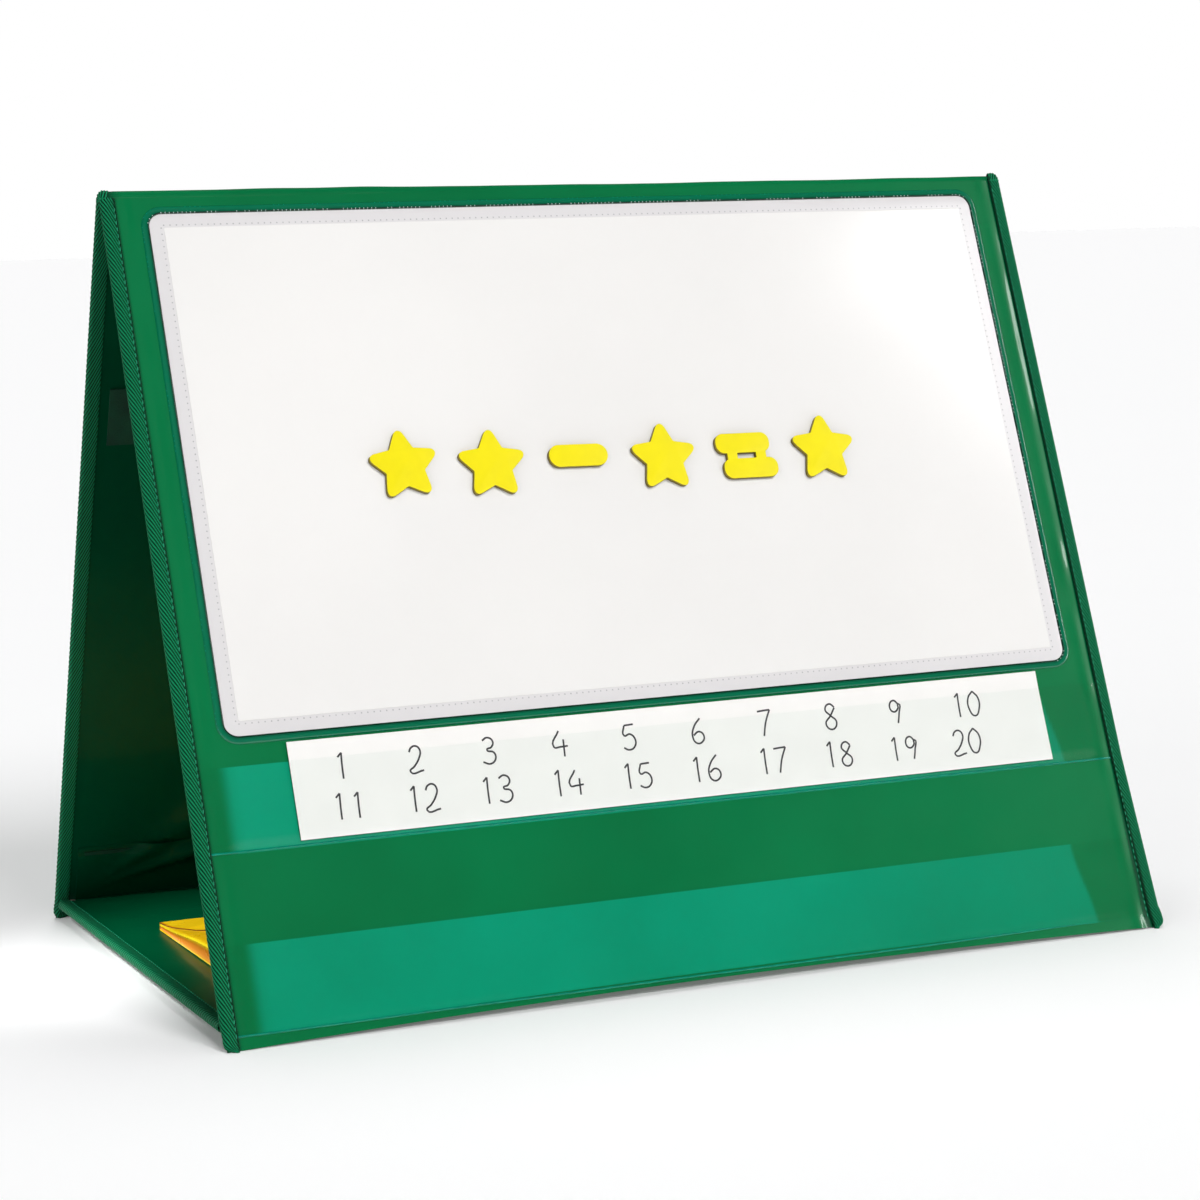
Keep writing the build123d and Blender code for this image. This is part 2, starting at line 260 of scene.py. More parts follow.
def shareOf(nodes, name):
    node = nodes.new("ShaderNodeAttribute")
    node.attribute_name = name
    return node.outputs["Fac"]


def rampOf(nodes, links, factor, marks):
    ramp = nodes.new("ShaderNodeValToRGB")
    links.new(factor, ramp.inputs["Fac"])
    elements = ramp.color_ramp.elements
    while len(elements) < len(marks):
        elements.new(0.5)
    for element, (position, color) in zip(elements, marks):
        element.position = position
        element.color = (*color, 1)
    return ramp.outputs["Color"]


def mixOf(nodes, links, factor, first, second):
    mix = nodes.new("ShaderNodeMix")
    mix.data_type = "RGBA"
    links.new(factor, mix.inputs["Factor"])
    for socket, source in ((mix.inputs[6], first), (mix.inputs[7], second)):
        if isinstance(source, tuple):
            socket.default_value = (*source, 1)
        else:
            links.new(source, socket)
    return mix.outputs[2]


def mixShaders(nodes, links, factor, first, second):
    mix = nodes.new("ShaderNodeMixShader")
    links.new(factor, mix.inputs["Fac"])
    links.new(first.outputs[0], mix.inputs[1])
    links.new(second.outputs[0], mix.inputs[2])
    return mix


def bumpOf(nodes, links, height, strength, distance, below=None):
    bump = addNode(nodes, "ShaderNodeBump", Strength=strength, Distance=distance)
    links.new(height, bump.inputs["Height"])
    if below:
        links.new(below, bump.inputs["Normal"])
    return bump.outputs["Normal"]


def roughOf(nodes, links, source, low, high, shader):
    spread = addNode(nodes, "ShaderNodeMapRange", To_Min=low, To_Max=high)
    links.new(source, spread.inputs["Value"])
    links.new(spread.outputs["Result"], shader.inputs["Roughness"])


vinylLook = dict(
    bare=((0.0, 0.150, 0.044), (0.0, 0.182, 0.056)),
    # painted film reflection: the lighter teal of the vinyl where a pocket film lies over it
    underFilm=((0.0, 0.29, 0.155), (0.0, 0.345, 0.195)),
    lining=((0.0, 0.050, 0.020), (0.0, 0.068, 0.027)),
    baseTop=((0.0, 0.068, 0.024), (0.0, 0.09, 0.032)),
    # painted shade in the groove beside the tape
    groove=(0.0, 0.07, 0.026),
    roughness=0.32,
    coatRoughness=0.08,
    grainScale=1500.0,
    grainDepth=0.00002,
    waveScale=14.0,
    waveDepth=0.0009,
)


def vinyl(name, colors, filmReflectionColors=None, shine=0.25):
    look = vinylLook
    material, nodes, links, shader = startMaterial(name, colors[1], look["roughness"])
    place = nodes.new("ShaderNodeTexCoord").outputs["Object"]
    cloud = noiseOf(nodes, links, place, 7.0, 3.0)
    color = rampOf(nodes, links, cloud, [(0.35, colors[0]), (0.65, colors[1])])
    if filmReflectionColors:
        under = rampOf(nodes, links, cloud, [(0.35, filmReflectionColors[0]), (0.65, filmReflectionColors[1])])
        # painted film reflection where a pocket film lies over the vinyl
        color = mixOf(nodes, links, shareOf(nodes, "underFilm"), color, under)
        # painted shade in the groove beside the tape
        color = mixOf(nodes, links, shareOf(nodes, "groove"), color, look["groove"])
    links.new(color, shader.inputs["Base Color"])
    grain = noiseOf(nodes, links, place, look["grainScale"], 1.0)
    wave = noiseOf(nodes, links, place, look["waveScale"], 1.0)
    low = bumpOf(nodes, links, wave, 0.5, look["waveDepth"])
    links.new(bumpOf(nodes, links, grain, 0.3, look["grainDepth"], low), shader.inputs["Normal"])
    patches = noiseOf(nodes, links, place, 40.0)
    roughOf(nodes, links, patches, look["roughness"] - 0.05, look["roughness"] + 0.08, shader)
    shader.inputs["Specular IOR Level"].default_value = 0.7 * shine
    shader.inputs["Coat Weight"].default_value = shine
    shader.inputs["Coat Roughness"].default_value = look["coatRoughness"]
    return material


twillLook = dict(
    # dark is painted shade in the rib grooves and at the tape's inner edge, light a painted highlight on the
    # rib crests
    dark=(0.0, 0.014, 0.006),
    middle=(0.0, 0.072, 0.028),
    light=(0.004, 0.235, 0.095),
    roughness=0.6,
    threadScale=2200.0,
    threadShare=0.35,
    threadDepth=0.00012,
    sheen=0.05,
)


def twill(name):
    look = twillLook
    material, nodes, links, shader = startMaterial(name, look["middle"], look["roughness"])
    place = nodes.new("ShaderNodeTexCoord").outputs["Object"]
    thread = noiseOf(nodes, links, place, look["threadScale"], 2.0)
    total = nodes.new("ShaderNodeMath")  # the painted light and shade of the ribs, roughened by the thread
    total.operation = "MULTIPLY_ADD"
    total.inputs[1].default_value = look["threadShare"]
    links.new(thread, total.inputs[0])
    links.new(shareOf(nodes, "rib"), total.inputs[2])
    marks = [(0.2, look["dark"]), (0.62, look["middle"]), (1.0, look["light"])]
    links.new(rampOf(nodes, links, total.outputs[0], marks), shader.inputs["Base Color"])
    links.new(bumpOf(nodes, links, thread, 0.5, look["threadDepth"]), shader.inputs["Normal"])
    shader.inputs["Sheen Weight"].default_value = look["sheen"]
    shader.inputs["Sheen Roughness"].default_value = 0.4
    shader.inputs["Specular IOR Level"].default_value = 0.15
    return material


filmLook = dict(tint=(0.972, 0.99, 0.982), roughness=0.07, mirrorIOR=1.33)


def clearFilm(name):
    look = filmLook
    material, nodes, links, shader = startMaterial(name, (0.05, 0.45, 0.33), look["roughness"])
    place = nodes.new("ShaderNodeTexCoord").outputs["Object"]
    low = bumpOf(nodes, links, noiseOf(nodes, links, place, 22.0, 1.0), 0.35, 0.0008)
    normal = bumpOf(nodes, links, noiseOf(nodes, links, place, 160.0, 2.0), 0.1, 0.0002, low)
    outer = nodes.new("ShaderNodeNewGeometry").outputs["Backfacing"]  # only the outer skin shines
    through = addNode(nodes, "ShaderNodeBsdfTransparent")
    links.new(mixOf(nodes, links, outer, look["tint"], (1.0, 1.0, 1.0)), through.inputs["Color"])
    mirror = addNode(nodes, "ShaderNodeFresnel", IOR=look["mirrorIOR"])
    links.new(normal, mirror.inputs["Normal"])
    front = nodes.new("ShaderNodeMath")
    front.operation = "SUBTRACT"
    front.use_clamp = True
    links.new(mirror.outputs["Fac"], front.inputs[0])
    links.new(outer, front.inputs[1])
    gloss = addNode(nodes, "ShaderNodeBsdfGlossy", Roughness=look["roughness"])
    links.new(normal, gloss.inputs["Normal"])
    skin = mixShaders(nodes, links, front.outputs[0], through, gloss)
    links.new(skin.outputs[0], nodes["Material Output"].inputs["Surface"])
    nodes.remove(shader)
    return material


def satin(name, color, roughness, grain=600.0, depth=0.0001, spread=0.08, cloud=60.0):
    material, nodes, links, shader = startMaterial(name, color, roughness)
    place = nodes.new("ShaderNodeTexCoord").outputs["Object"]
    dark = tuple(c * (1 - spread) for c in color)
    light = tuple(min(c * (1 + spread), 1.0) for c in color)
    tone = noiseOf(nodes, links, place, cloud, 4.0)
    links.new(rampOf(nodes, links, tone, [(0.3, dark), (0.7, light)]), shader.inputs["Base Color"])
    fine = noiseOf(nodes, links, place, grain, 2.0)
    links.new(bumpOf(nodes, links, fine, 0.5, depth), shader.inputs["Normal"])
    roughOf(nodes, links, tone, roughness - 0.04, roughness + 0.04, shader)
    return material


def edged(name, faceColor, edgeShadeColor, roughness, coat=0.0, glow=0.0):  # painted shade by the piece's own edge share
    material, nodes, links, shader = startMaterial(name, faceColor, roughness)
    place = nodes.new("ShaderNodeTexCoord").outputs["Object"]
    cloud = noiseOf(nodes, links, place, 90.0, 3.0)
    dark = tuple(c * 0.95 for c in faceColor)
    face = rampOf(nodes, links, cloud, [(0.3, dark), (0.7, faceColor)])
    links.new(mixOf(nodes, links, shareOf(nodes, "edge"), face, edgeShadeColor), shader.inputs["Base Color"])
    cells = addNode(nodes, "ShaderNodeTexVoronoi", Scale=2600.0)
    links.new(place, cells.inputs["Vector"])
    links.new(bumpOf(nodes, links, cells.outputs["Distance"], 0.3, 0.00008), shader.inputs["Normal"])
    roughOf(nodes, links, cloud, roughness - 0.05, roughness + 0.05, shader)
    shader.inputs["Coat Weight"].default_value = coat
    if glow:
        shader.inputs["Subsurface Weight"].default_value = glow
        shader.inputs["Subsurface Radius"].default_value = (0.002, 0.0015, 0.0003)
    return material


pouchShading = [  # painted light and shade: flap edge (painted shadow line), side (painted shade), top, rim (painted highlight)
    (0.0, (0.10, 0.03, 0.004)),
    (0.3, (0.80, 0.25, 0.008)),
    (0.65, (0.98, 0.60, 0.006)),
    (1.0, (1.0, 0.82, 0.02)),
]


def pouchVinyl(name):
    material, nodes, links, shader = startMaterial(name, pouchShading[2][1], 0.25)
    place = nodes.new("ShaderNodeTexCoord").outputs["Object"]
    # colour from the painted shade and highlights in the tone share
    links.new(rampOf(nodes, links, shareOf(nodes, "tone"), pouchShading), shader.inputs["Base Color"])
    wave = noiseOf(nodes, links, place, 45.0, 3.0)
    links.new(bumpOf(nodes, links, wave, 0.45, 0.0012), shader.inputs["Normal"])
    roughOf(nodes, links, wave, 0.2, 0.34, shader)
    shader.inputs["Specular IOR Level"].default_value = 0.2
    shader.inputs["Coat Weight"].default_value = 0.2
    shader.inputs["Coat Roughness"].default_value = 0.1
    return material


coverVinyl = vinyl("coverVinyl", vinylLook["bare"], vinylLook["underFilm"])
liningVinyl = vinyl("liningVinyl", vinylLook["lining"], shine=0.06)
baseVinyl = vinyl("baseVinyl", vinylLook["baseTop"], shine=0.14)
twillTape = twill("twillTape")
tapeThread = satin("tapeThread", (0.012, 0.30, 0.15), 0.6, 2500.0, 0.00005, 0.2, 400.0)
pocketFilm = clearFilm("pocketFilm")
weldTeal = satin("weldTeal", (0.0, 0.24, 0.15), 0.16, 900.0, 0.00004, 0.15, 200.0)
# light specks that paint glints on the rim
weldWhite = satin("weldWhite", (0.62, 0.80, 0.74), 0.2, 900.0, 0.00004, 0.15, 500.0)
# its edge colour is painted contact shadow on the rim's inner part, beside the sheet
rimVinyl = edged("rimVinyl", (0.0, 0.165, 0.075), (0.0, 0.012, 0.007), 0.14, 0.5)
sheetBorder = satin("sheetBorder", (0.765, 0.745, 0.752), 0.3, 500.0, 0.00003, 0.02, 12.0)
sheetField = satin("sheetField", (0.90, 0.885, 0.868), 0.22, 500.0, 0.00003, 0.012, 10.0)
weldMark = satin("weldMark", (0.50, 0.49, 0.50), 0.4)
cardWhite = satin("cardWhite", (0.925, 0.91, 0.885), 0.75, 900.0, 0.00004, 0.015)
penInk = satin("penInk", (0.045, 0.042, 0.045), 0.6)
# its edge colour is painted shade on the foam's sides
foamYellow = edged("foamYellow", (0.97, 0.83, 0.0), (0.26, 0.19, 0.008), 0.6, 0.0, 0.08)
magnetSheet = satin("magnetSheet", (0.13, 0.10, 0.02), 0.7)
yellowVinyl = pouchVinyl("yellowVinyl")
hookLoop = satin("hookLoop", (0.0, 0.045, 0.02), 0.9, 1400.0, 0.0006, 0.3)
steelPlate = satin("steelPlate", (0.55, 0.55, 0.56), 0.35)
steelPlate.node_tree.nodes["Principled BSDF"].inputs["Metallic"].default_value = 1.0
greyBoard = satin("greyBoard", (0.30, 0.27, 0.22), 0.9, 400.0, 0.0003, 0.15)
print("materials ready")

# where each pocket lies on its panel
pocketRanges = {}
for node in frame["nodes"]:
    if node.endswith("_pocket"):
        pocketRanges[node] = nodeRange(node, "front")
    if node.startswith("rear_pocket"):
        pocketRanges[node] = nodeRange(node, "rear")
rearPockets = sorted(n for n in pocketRanges if n.startswith("rear_pocket"))
sidePockets = {"front": ["upper_pocket", "lower_pocket"], "rear": rearPockets}

# covers
coverLook = dict(
    step=4.2 * mm,
    wall=0.3 * mm,
    sink=0.06 * mm,
    wave=0.09 * mm,
    pucker=0.5 * mm,
    puckerPlace=248.5 * mm,
    puckerWidth=2.8 * mm,
    tapeDip=0.1 * mm,
    dipStart=251.2 * mm,
    grooveStart=251.8 * mm,
    grooveFull=253.2 * mm,
    hemArch=4.5 * mm,
    hemTop=12 * mm,
    flare=1.4 * mm,
    flareStart=120 * mm,
    flareFull=256 * mm,
)
filmReflectionLook = dict(  # painted reflection of the pocket films: where the vinyl under them is painted lighter and teal
    leftStart=8 * mm,
    leftFull=17 * mm,
    rightEnd=217 * mm,
    rightLean=7 * mm,
    rearEnd=14 * mm,
    blur=0.9 * mm,
    fadeStart=-40 * mm,
    fade=0.4,
)


def hemRise(side, x, u):  # the front hem's lower edge arches up in the middle
    arch = coverLook["hemArch"] * (1 - (x / halfWidth) ** 2) if side == "front" else 0.0
    return u + arch * max(1 - u / coverLook["hemTop"], 0.0)


def cornerFlare(side, x, u):  # the soft hem kicks out at the lower right corner
    look = coverLook
    if side == "rear":
        return 0.0
    along = ease(x, look["flareStart"], look["flareFull"])
    return look["flare"] * along * max(1 - u / look["hemTop"], 0.0) ** 1.5


def coverHeight(side, x, u):
    look = coverLook
    seed = 1.0 if side == "front" else 5.0
    height = -look["sink"] + look["wave"] * ripple(x, u, 55 * mm, seed)
    beside = math.exp(-(((abs(x) - look["puckerPlace"]) / look["puckerWidth"]) ** 2))
    height += look["pucker"] * beside * max(0.45 + 0.75 * ripple(x * 0.15, u, 24 * mm, seed + 3), 0.0)
    return height - look["tapeDip"] * ease(abs(x), look["dipStart"], look["grooveFull"])


def grooveAt(p):  # painted shade: the dark line beside the tape, where the vinyl dips under it
    return ease(abs(p.x), coverLook["grooveStart"], coverLook["grooveFull"])


def filmShare(side, x, u):  # how strongly the painted reflection of a pocket's film lightens the vinyl: 0 past the film's ends
    look = filmReflectionLook
    for node in sidePockets[side]:
        low, high = pocketRanges[node]
        if low.y < u < high.y:
            left = ease(x, low.x + look["leftStart"], low.x + look["leftFull"])
            end = high.x - look["rearEnd"]
            if side == "front":
                end = look["rightEnd"] + look["rightLean"] * ease(high.y - u, 0.0, high.y - low.y)
            right = 1 - ease(x, end - look["blur"], end + look["blur"])
            return left * right * (1 - look["fade"] * ease(x, look["fadeStart"], look["rightEnd"]))
    return 0.0


def makeCover(side):
    look = coverLook
    low, high = nodeRange(f"{side}_cover", side)
    edges = [v.y for node in sidePockets[side] for v in pocketRanges[node]]
    besideEdges = [y + gap for y in edges for gap in (-0.2 * mm, 0.2 * mm)]
    nearTape = [sign * (240 + 1.2 * k) * mm for k in range(12) for sign in (-1, 1)]
    nearFilmEnd = [(214 + 1.1 * k) * mm for k in range(11)]
    columns = stops(low.x, high.x, look["step"], *nearTape, *nearFilmEnd)
    rows = stops(0.0, high.y, look["step"], 0.8 * mm, 2 * mm, *besideEdges)
    cover = softGrid(f"{side}Cover", columns, rows, lambda x, u: Vector((x, u, coverHeight(side, x, u))))
    # painted film reflection, as a share for the vinyl
    addShare(cover, "underFilm", lambda p: filmShare(side, p.x, p.y))
    # painted shade beside the tape, as a share for the vinyl
    addShare(cover, "groove", grooveAt)
    for v in cover.data.vertices:
        v.co.z += cornerFlare(side, v.co.x, v.co.y)
        v.co.y = hemRise(side, v.co.x, v.co.y)
    addWall(cover, look["wall"])
    cover.data.transform(places[side])
    smooth(cover)
    give(cover, coverVinyl, "green_vinyl", bodies[side], f"{side}_cover")


makeCover("front")
makeCover("rear")

# linings inside the tent
liningLook = dict(
    step=5 * mm,
    wall=0.3 * mm,
    wave=0.3 * mm,
    waveSize=70 * mm,
    hemStart=7.4 * mm,
    boardStart=12 * mm,
    hemDepth=0.8 * mm,
)
flapLow, flapHigh = nodeRange("closure_flap", "rear")
loopHigh = nodeRange("closure_loop_strip", "rear")[1]
foldLook = dict(
    corner=(-252 * mm, 16 * mm),
    height=5.5 * mm,
    crests=((34, 6.5), (21, 4.5)),  # direction and width in degrees
    droop=5,
    full=90 * mm,
    fadeStart=120 * mm,
    fadeEnd=250 * mm,
)


def softFold(x, u):  # folds that run up and right from the rear left corner; x is the chart's own
    look = foldLook
    across, above = x - look["corner"][0], u - look["corner"][1]
    reach = math.hypot(across, above)
    angle = math.degrees(math.atan2(above, max(across, 0.1 * mm)))
    height = 0.0
    for crest, spread in look["crests"]:
        bend = crest - look["droop"] * reach / look["fadeEnd"]
        height += math.exp(-(((angle - bend) / spread) ** 2))
    fade = 1 - ease(reach, look["fadeStart"], look["fadeEnd"])
    return look["height"] * height * ease(reach, 4 * mm, look["full"]) * fade


def liningDepth(u, depth):  # the inner face steps in from the hem to the board
    look = liningLook
    return look["hemDepth"] + (depth - look["hemDepth"]) * ease(u, look["hemStart"], look["boardStart"])


def makeLining(side):
    look = liningLook
    low, high = nodeRange(f"{side}_lining", side)
    depth = -low.z
    seed = 9.0 if side == "front" else 14.0

    def pointAt(x, u):
        slack = look["wave"] * (0.6 + ripple(x, u, look["waveSize"], seed))
        slack *= ease(u, look["boardStart"], 30 * mm)
        if side == "rear":
            slack += softFold(-x, u) * ease(u, loopHigh.y, flapHigh.y)
        slack *= 1 - ease(abs(x), halfWidth - 16 * mm, halfWidth - 8 * mm)
        level = -liningDepth(u, depth) - max(slack, 0.0) + cornerFlare(side, x, u)
        return Vector((x, hemRise(side, x, u), level))

    columns, rows = stops(low.x, high.x, look["step"]), stops(0.0, high.y, look["step"])
    lining = softGrid(f"{side}Lining", columns, rows, pointAt)
    addWall(lining, look["wall"], 1)
    lining.data.transform(places[side])
    tidyNormals(lining)
    smooth(lining)
    give(lining, liningVinyl, "green_lining", bodies[side], f"{side}_lining")


makeLining("front")
makeLining("rear")

baseLook = dict(
    step=3.4 * mm,
    wall=0.3 * mm,
    puff=0.9 * mm,
    puffSize=60 * mm,
    folds=1.1 * mm,
    foldSize=13 * mm,
    edgeRun=12 * mm,
    underStep=9 * mm,
    underWave=0.15 * mm,
)


def makeBaseTop():
    look = baseLook
    low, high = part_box("base_lining")

    def pointAt(x, y):
        puff = look["puff"] * max(0.4 + ripple(x, y, look["puffSize"], 21.0), 0.0)
        rear = ease(y, 20 * mm, 110 * mm)
        puff += look["folds"] * rear * max(ripple(x * 0.3, y + 0.2 * x, look["foldSize"], 30.0), 0.0)
        fade = 1 - ease(abs(x), halfWidth - 24 * mm, halfWidth - 9 * mm)
        fade *= ease(high.y - y, 0.0, look["edgeRun"]) * ease(y - low.y, 0.0, look["edgeRun"])
        fade *= 1 - 0.75 * ease(y, 88 * mm, 102 * mm)  # lower where the closure flap comes down
        pouchSpan = ease(x, -240 * mm, -226 * mm) * (1 - ease(x, 0.0, 14 * mm))
        underPouch = 1 - 0.85 * pouchSpan * ease(62 * mm - y, 0, 14 * mm)
        return Vector((x, y, high.z - 0.05 * mm + puff * fade * underPouch))

    columns, rows = stops(low.x, high.x, look["step"]), stops(low.y, high.y, look["step"])
    top = softGrid("baseLining", columns, rows, pointAt)
    addWall(top, look["wall"])
    smooth(top)
    give(top, baseVinyl, "green_lining", "base", "base_lining")


def makeBaseUnder():
    look = baseLook
    low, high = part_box("base_cover")

    def pointAt(x, y):
        return Vector((x, y, low.z + look["underWave"] * max(ripple(x, y, 80 * mm, 3.0), 0.0)))

    columns, rows = stops(low.x, high.x, look["underStep"]), stops(low.y, high.y, look["underStep"])
    under = softGrid("baseCover", columns, rows, pointAt)
    addWall(under, look["wall"], 1)
    tidyNormals(under)
    smooth(under)
    give(under, coverVinyl, "green_vinyl", "base", "base_cover")


makeBaseTop()
makeBaseUnder()
print("covers and linings ready")

# twill binding, folded over the panels' edges
tapeLook = dict(
    pitch=2.9 * mm,
    samples=6,
    across=32,
    slant=1.9,
    outerRib=0.8 * mm,
    faceRib=0.45 * mm,
    innerRib=0.25,  # the part of a rib's height that is left on the inner side
    faceWidth=6.7 * mm,
    edgeRise=0.35 * mm,
    wall=0.4 * mm,
    cornerRound=4.5 * mm,
    lowerSpread=3.2 * mm,
    spreadTop=95 * mm,
    stitchPitch=3.5 * mm,
    stitchInset=5.7 * mm,
    stitchLift=0.6 * mm,
    stitchSize=(0.62 * mm, 2.4 * mm, 0.55 * mm),
    baseSlant=0.7,
    baseRib=0.6,  # the part of a rib's height that is left on the base's outer band
    baseStitchLift=0.35 * mm,
)


def tapeRadius(thickness):
    return 1.8 * mm + 0.23 * thickness


def tapeSection(thickness, share):  # inset from the edge, height from the panel's middle, outward direction
    look = tapeLook
    radius = tapeRadius(thickness)
    flat = look["faceWidth"] - radius
    start = thickness / 2 + look["edgeRise"]
    run = share * (2 * flat + math.pi * radius)
    if run < flat:
        height = start + (radius - start) * math.sin(math.pi / 2 * run / flat)
        return look["faceWidth"] - run, height, (0.0, 1.0)
    if run > flat + math.pi * radius:
        over = run - flat - math.pi * radius
        return radius + over, -start - (radius - start) * math.cos(math.pi / 2 * over / flat), (0.0, -1.0)
    angle = (run - flat) / radius
    return radius * (1 - math.sin(angle)), radius * math.cos(angle), (-math.sin(angle), math.cos(angle))


def faceOutward(piece):  # turns an open skin's faces away from the chart
    out = sum(face.area * face.normal.x for face in piece.data.polygons)
    if out * piece.data.vertices[0].co.x < 0:
        pick(piece, "VERT", lambda v: True)
        bpy.ops.mesh.flip_normals()
        leaveEdit()


def tapeStrip(name, start, length, hand, pointAt, toneAt=None, slant=None):  # rows follow the slanted ribs
    look = tapeLook
    slant = look["slant"] if slant is None else slant
    reach = 2 * look["faceWidth"] * 1.3 * slant
    step = look["pitch"] / look["samples"]
    rows = int((length + reach) / step) + 2
    clearSelection()
    bpy.ops.mesh.primitive_grid_add(x_subdivisions=look["across"], y_subdivisions=rows, size=1)
    tape = named(name)
    rib = tape.data.attributes.new("rib", "FLOAT", "POINT")
    for v in tape.data.vertices:
        share = v.co.x + 0.5
        row = round((v.co.y + 0.5) * rows)
        along = start + row * step - (1 - share if hand > 0 else share) * reach
        wave = math.sin(math.pi * (row % look["samples"]) / look["samples"])
        crest, shine = wave**0.8, wave**1.6
        side = math.sin(math.pi * min(max((share - 0.22) / 0.56, 0.0), 1.0))
        lift = crest * (look["faceRib"] + (look["outerRib"] - look["faceRib"]) * side)
        # painted highlight on the rib crests, and painted shade towards the tape's inner edge
        tone = toneAt(share, shine) if toneAt else shine * (0.25 + 0.75 * ease(share, 0.02, 0.1))
        rib.data[v.index].value = tone
        v.co = pointAt(share, along, lift * (1 - (1 - look["innerRib"]) * ease(share, 0.72, 0.85)))
    faceOutward(tape)
    addWall(tape, look["wall"])
    return tape


def cutTape(tape, point, normal, outer=False):
    pick(tape, "VERT", lambda v: True)
    away = dict(clear_inner=not outer, clear_outer=outer)
    bpy.ops.mesh.bisect(plane_co=point, plane_no=normal, use_fill=True, **away)
    leaveEdit()


stitch = tinyBall("stitch", 6, 5, 0.5, tapeLook["stitchSize"])


def stitchRow(name, sign, start, end, heightAt, place, body):
    look = tapeLook
    turn = Matrix.Rotation(math.radians(3 * sign), 4, "Z")
    spots = []
    for k in range(int((end - start) / look["stitchPitch"])):
        u = start + k * look["stitchPitch"]
        x = sign * (halfWidth - look["stitchInset"]) + 0.12 * mm * ripple(0.0, u, 20 * mm, sign * 4.0)
        spots.append(Matrix.Translation((x, u, heightAt(u))) @ turn)
    row = joinRow(name, stitch, spots)
    row.data.transform(place)
    smooth(row, 80)
    give(row, tapeThread, "binding_tape", body)


def makePanelTape(side, edge):
    look = tapeLook
    sign = -1 if edge == "left" else 1
    hand = 1 if edge == "left" else -1
    if side == "rear":
        sign = -sign
    depth = -nodeRange(f"{side}_lining", side)[0].z
    lowest = nodeRange(f"{side}_binding_{edge}", side)[0].z

    def pointAt(share, along, lift):
        thin = liningDepth(along, depth)
        inset, height, (outA, outW) = tapeSection(thin, share)
        corner = max(look["cornerRound"] - max(along, 0.0), 0.0)
        tuck = look["cornerRound"] - math.sqrt(look["cornerRound"] ** 2 - corner**2)
        x = sign * (halfWidth - inset - outA * lift - tuck * (1 - inset / look["faceWidth"]))
        if side == "front" and edge == "right":
            x += look["lowerSpread"] * max(1 - max(along, 0.0) / look["spreadTop"], 0.0)
        level = max(-thin / 2 + height + outW * lift, lowest)
        return Vector((x, along, level + cornerFlare(side, x, max(along, 0.0))))

    name = f"{side}Binding{edge.capitalize()}"
    tape = tapeStrip(name, -4 * mm, slopeLength + 6 * mm, hand, pointAt)
    tape.data.transform(places[side])
    tidyNormals(tape)
    cutTape(tape, (0, 0, 0.05 * mm), (0, 0, 1))
    cutTape(tape, ridgeAxis, places[side].to_3x3() @ Vector((0, 1, 0)), outer=True)
    tidyNormals(tape)
    smooth(tape, 60)
    give(tape, twillTape, "binding_tape", bodies[side], f"{side}_binding_{edge}")

    def heightAt(u):
        thin = liningDepth(u, depth)
        radius = tapeRadius(thin)
        start = thin / 2 + look["edgeRise"]
        run = (look["faceWidth"] - look["stitchInset"]) / (look["faceWidth"] - radius)
        return -thin / 2 + start + (radius - start) * math.sin(math.pi / 2 * run) + look["stitchLift"]

    name = f"{side}Stitches{edge.capitalize()}"
    stitchRow(name, sign, 7 * mm, slopeLength - 2 * mm, heightAt, places[side], bodies[side])


def makeBaseTape(edge):
    look = tapeLook
    low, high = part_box(f"base_binding_{edge}")
    sign = -1 if edge == "left" else 1
    bottom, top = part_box("base_cover")[0].z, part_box("base_lining")[1].z
    thickness, middle = top - bottom, (top + bottom) / 2

    def pointAt(share, along, lift):
        inset, height, (outA, outW) = tapeSection(thickness, share)
        lift *= 1 - (1 - look["baseRib"]) * ease(share, 0.3, 0.42)
        return Vector((sign * (halfWidth - inset - outA * lift), along, middle + height + outW * lift))

    def toneAt(share, crest):
        # painted highlight on the crests and painted light on the tape's outer band
        outer = ease(share, 0.3, 0.42)
        return 0.05 + 0.6 * crest * (1 - outer) + (0.28 + 0.5 * crest) * outer

    start, length = low.y - 4 * mm, high.y - low.y + 8 * mm
    name = f"baseBinding{edge.capitalize()}"
    tape = tapeStrip(name, start, length, -sign, pointAt, toneAt, look["baseSlant"])
    tidyNormals(tape)
    cutTape(tape, (0, low.y, 0), (0, 1, 0))
    cutTape(tape, (0, high.y, 0), (0, 1, 0), outer=True)
    tidyNormals(tape)
    smooth(tape, 60)
    give(tape, twillTape, "binding_tape", "base", f"base_binding_{edge}")
    stitchHeight = middle + tapeRadius(thickness) + look["baseStitchLift"]
    name = f"baseStitches{edge.capitalize()}"
    stitchRow(name, sign, low.y + 3 * mm, high.y - 2 * mm, lambda y: stitchHeight, places["base"], "base")


for edge in ("left", "right"):
    makePanelTape("front", edge)
    makePanelTape("rear", edge)
    makeBaseTape(edge)

# the folded ridge
ridgeLook = dict(
    tapePuff=0.35 * mm,
    leftRise=1.25 * mm,
    wave=0.25 * mm,
    sink=0.1 * mm,
    wall=0.3 * mm,
    steps=26,
)
ridgeRadius = -(ridgeAxis - frontFoot).dot(outward)
frontAngle = math.atan2(outward.z, outward.y)
rearAngle = math.pi - frontAngle


def ridgePoint(x, share, radius):  # round the ridge's axis from the front face to the rear face
    angle = frontAngle + share * (rearAngle - frontAngle)
    return Vector((x, math.cos(angle) * radius, ridgeAxis.z + math.sin(angle) * radius))


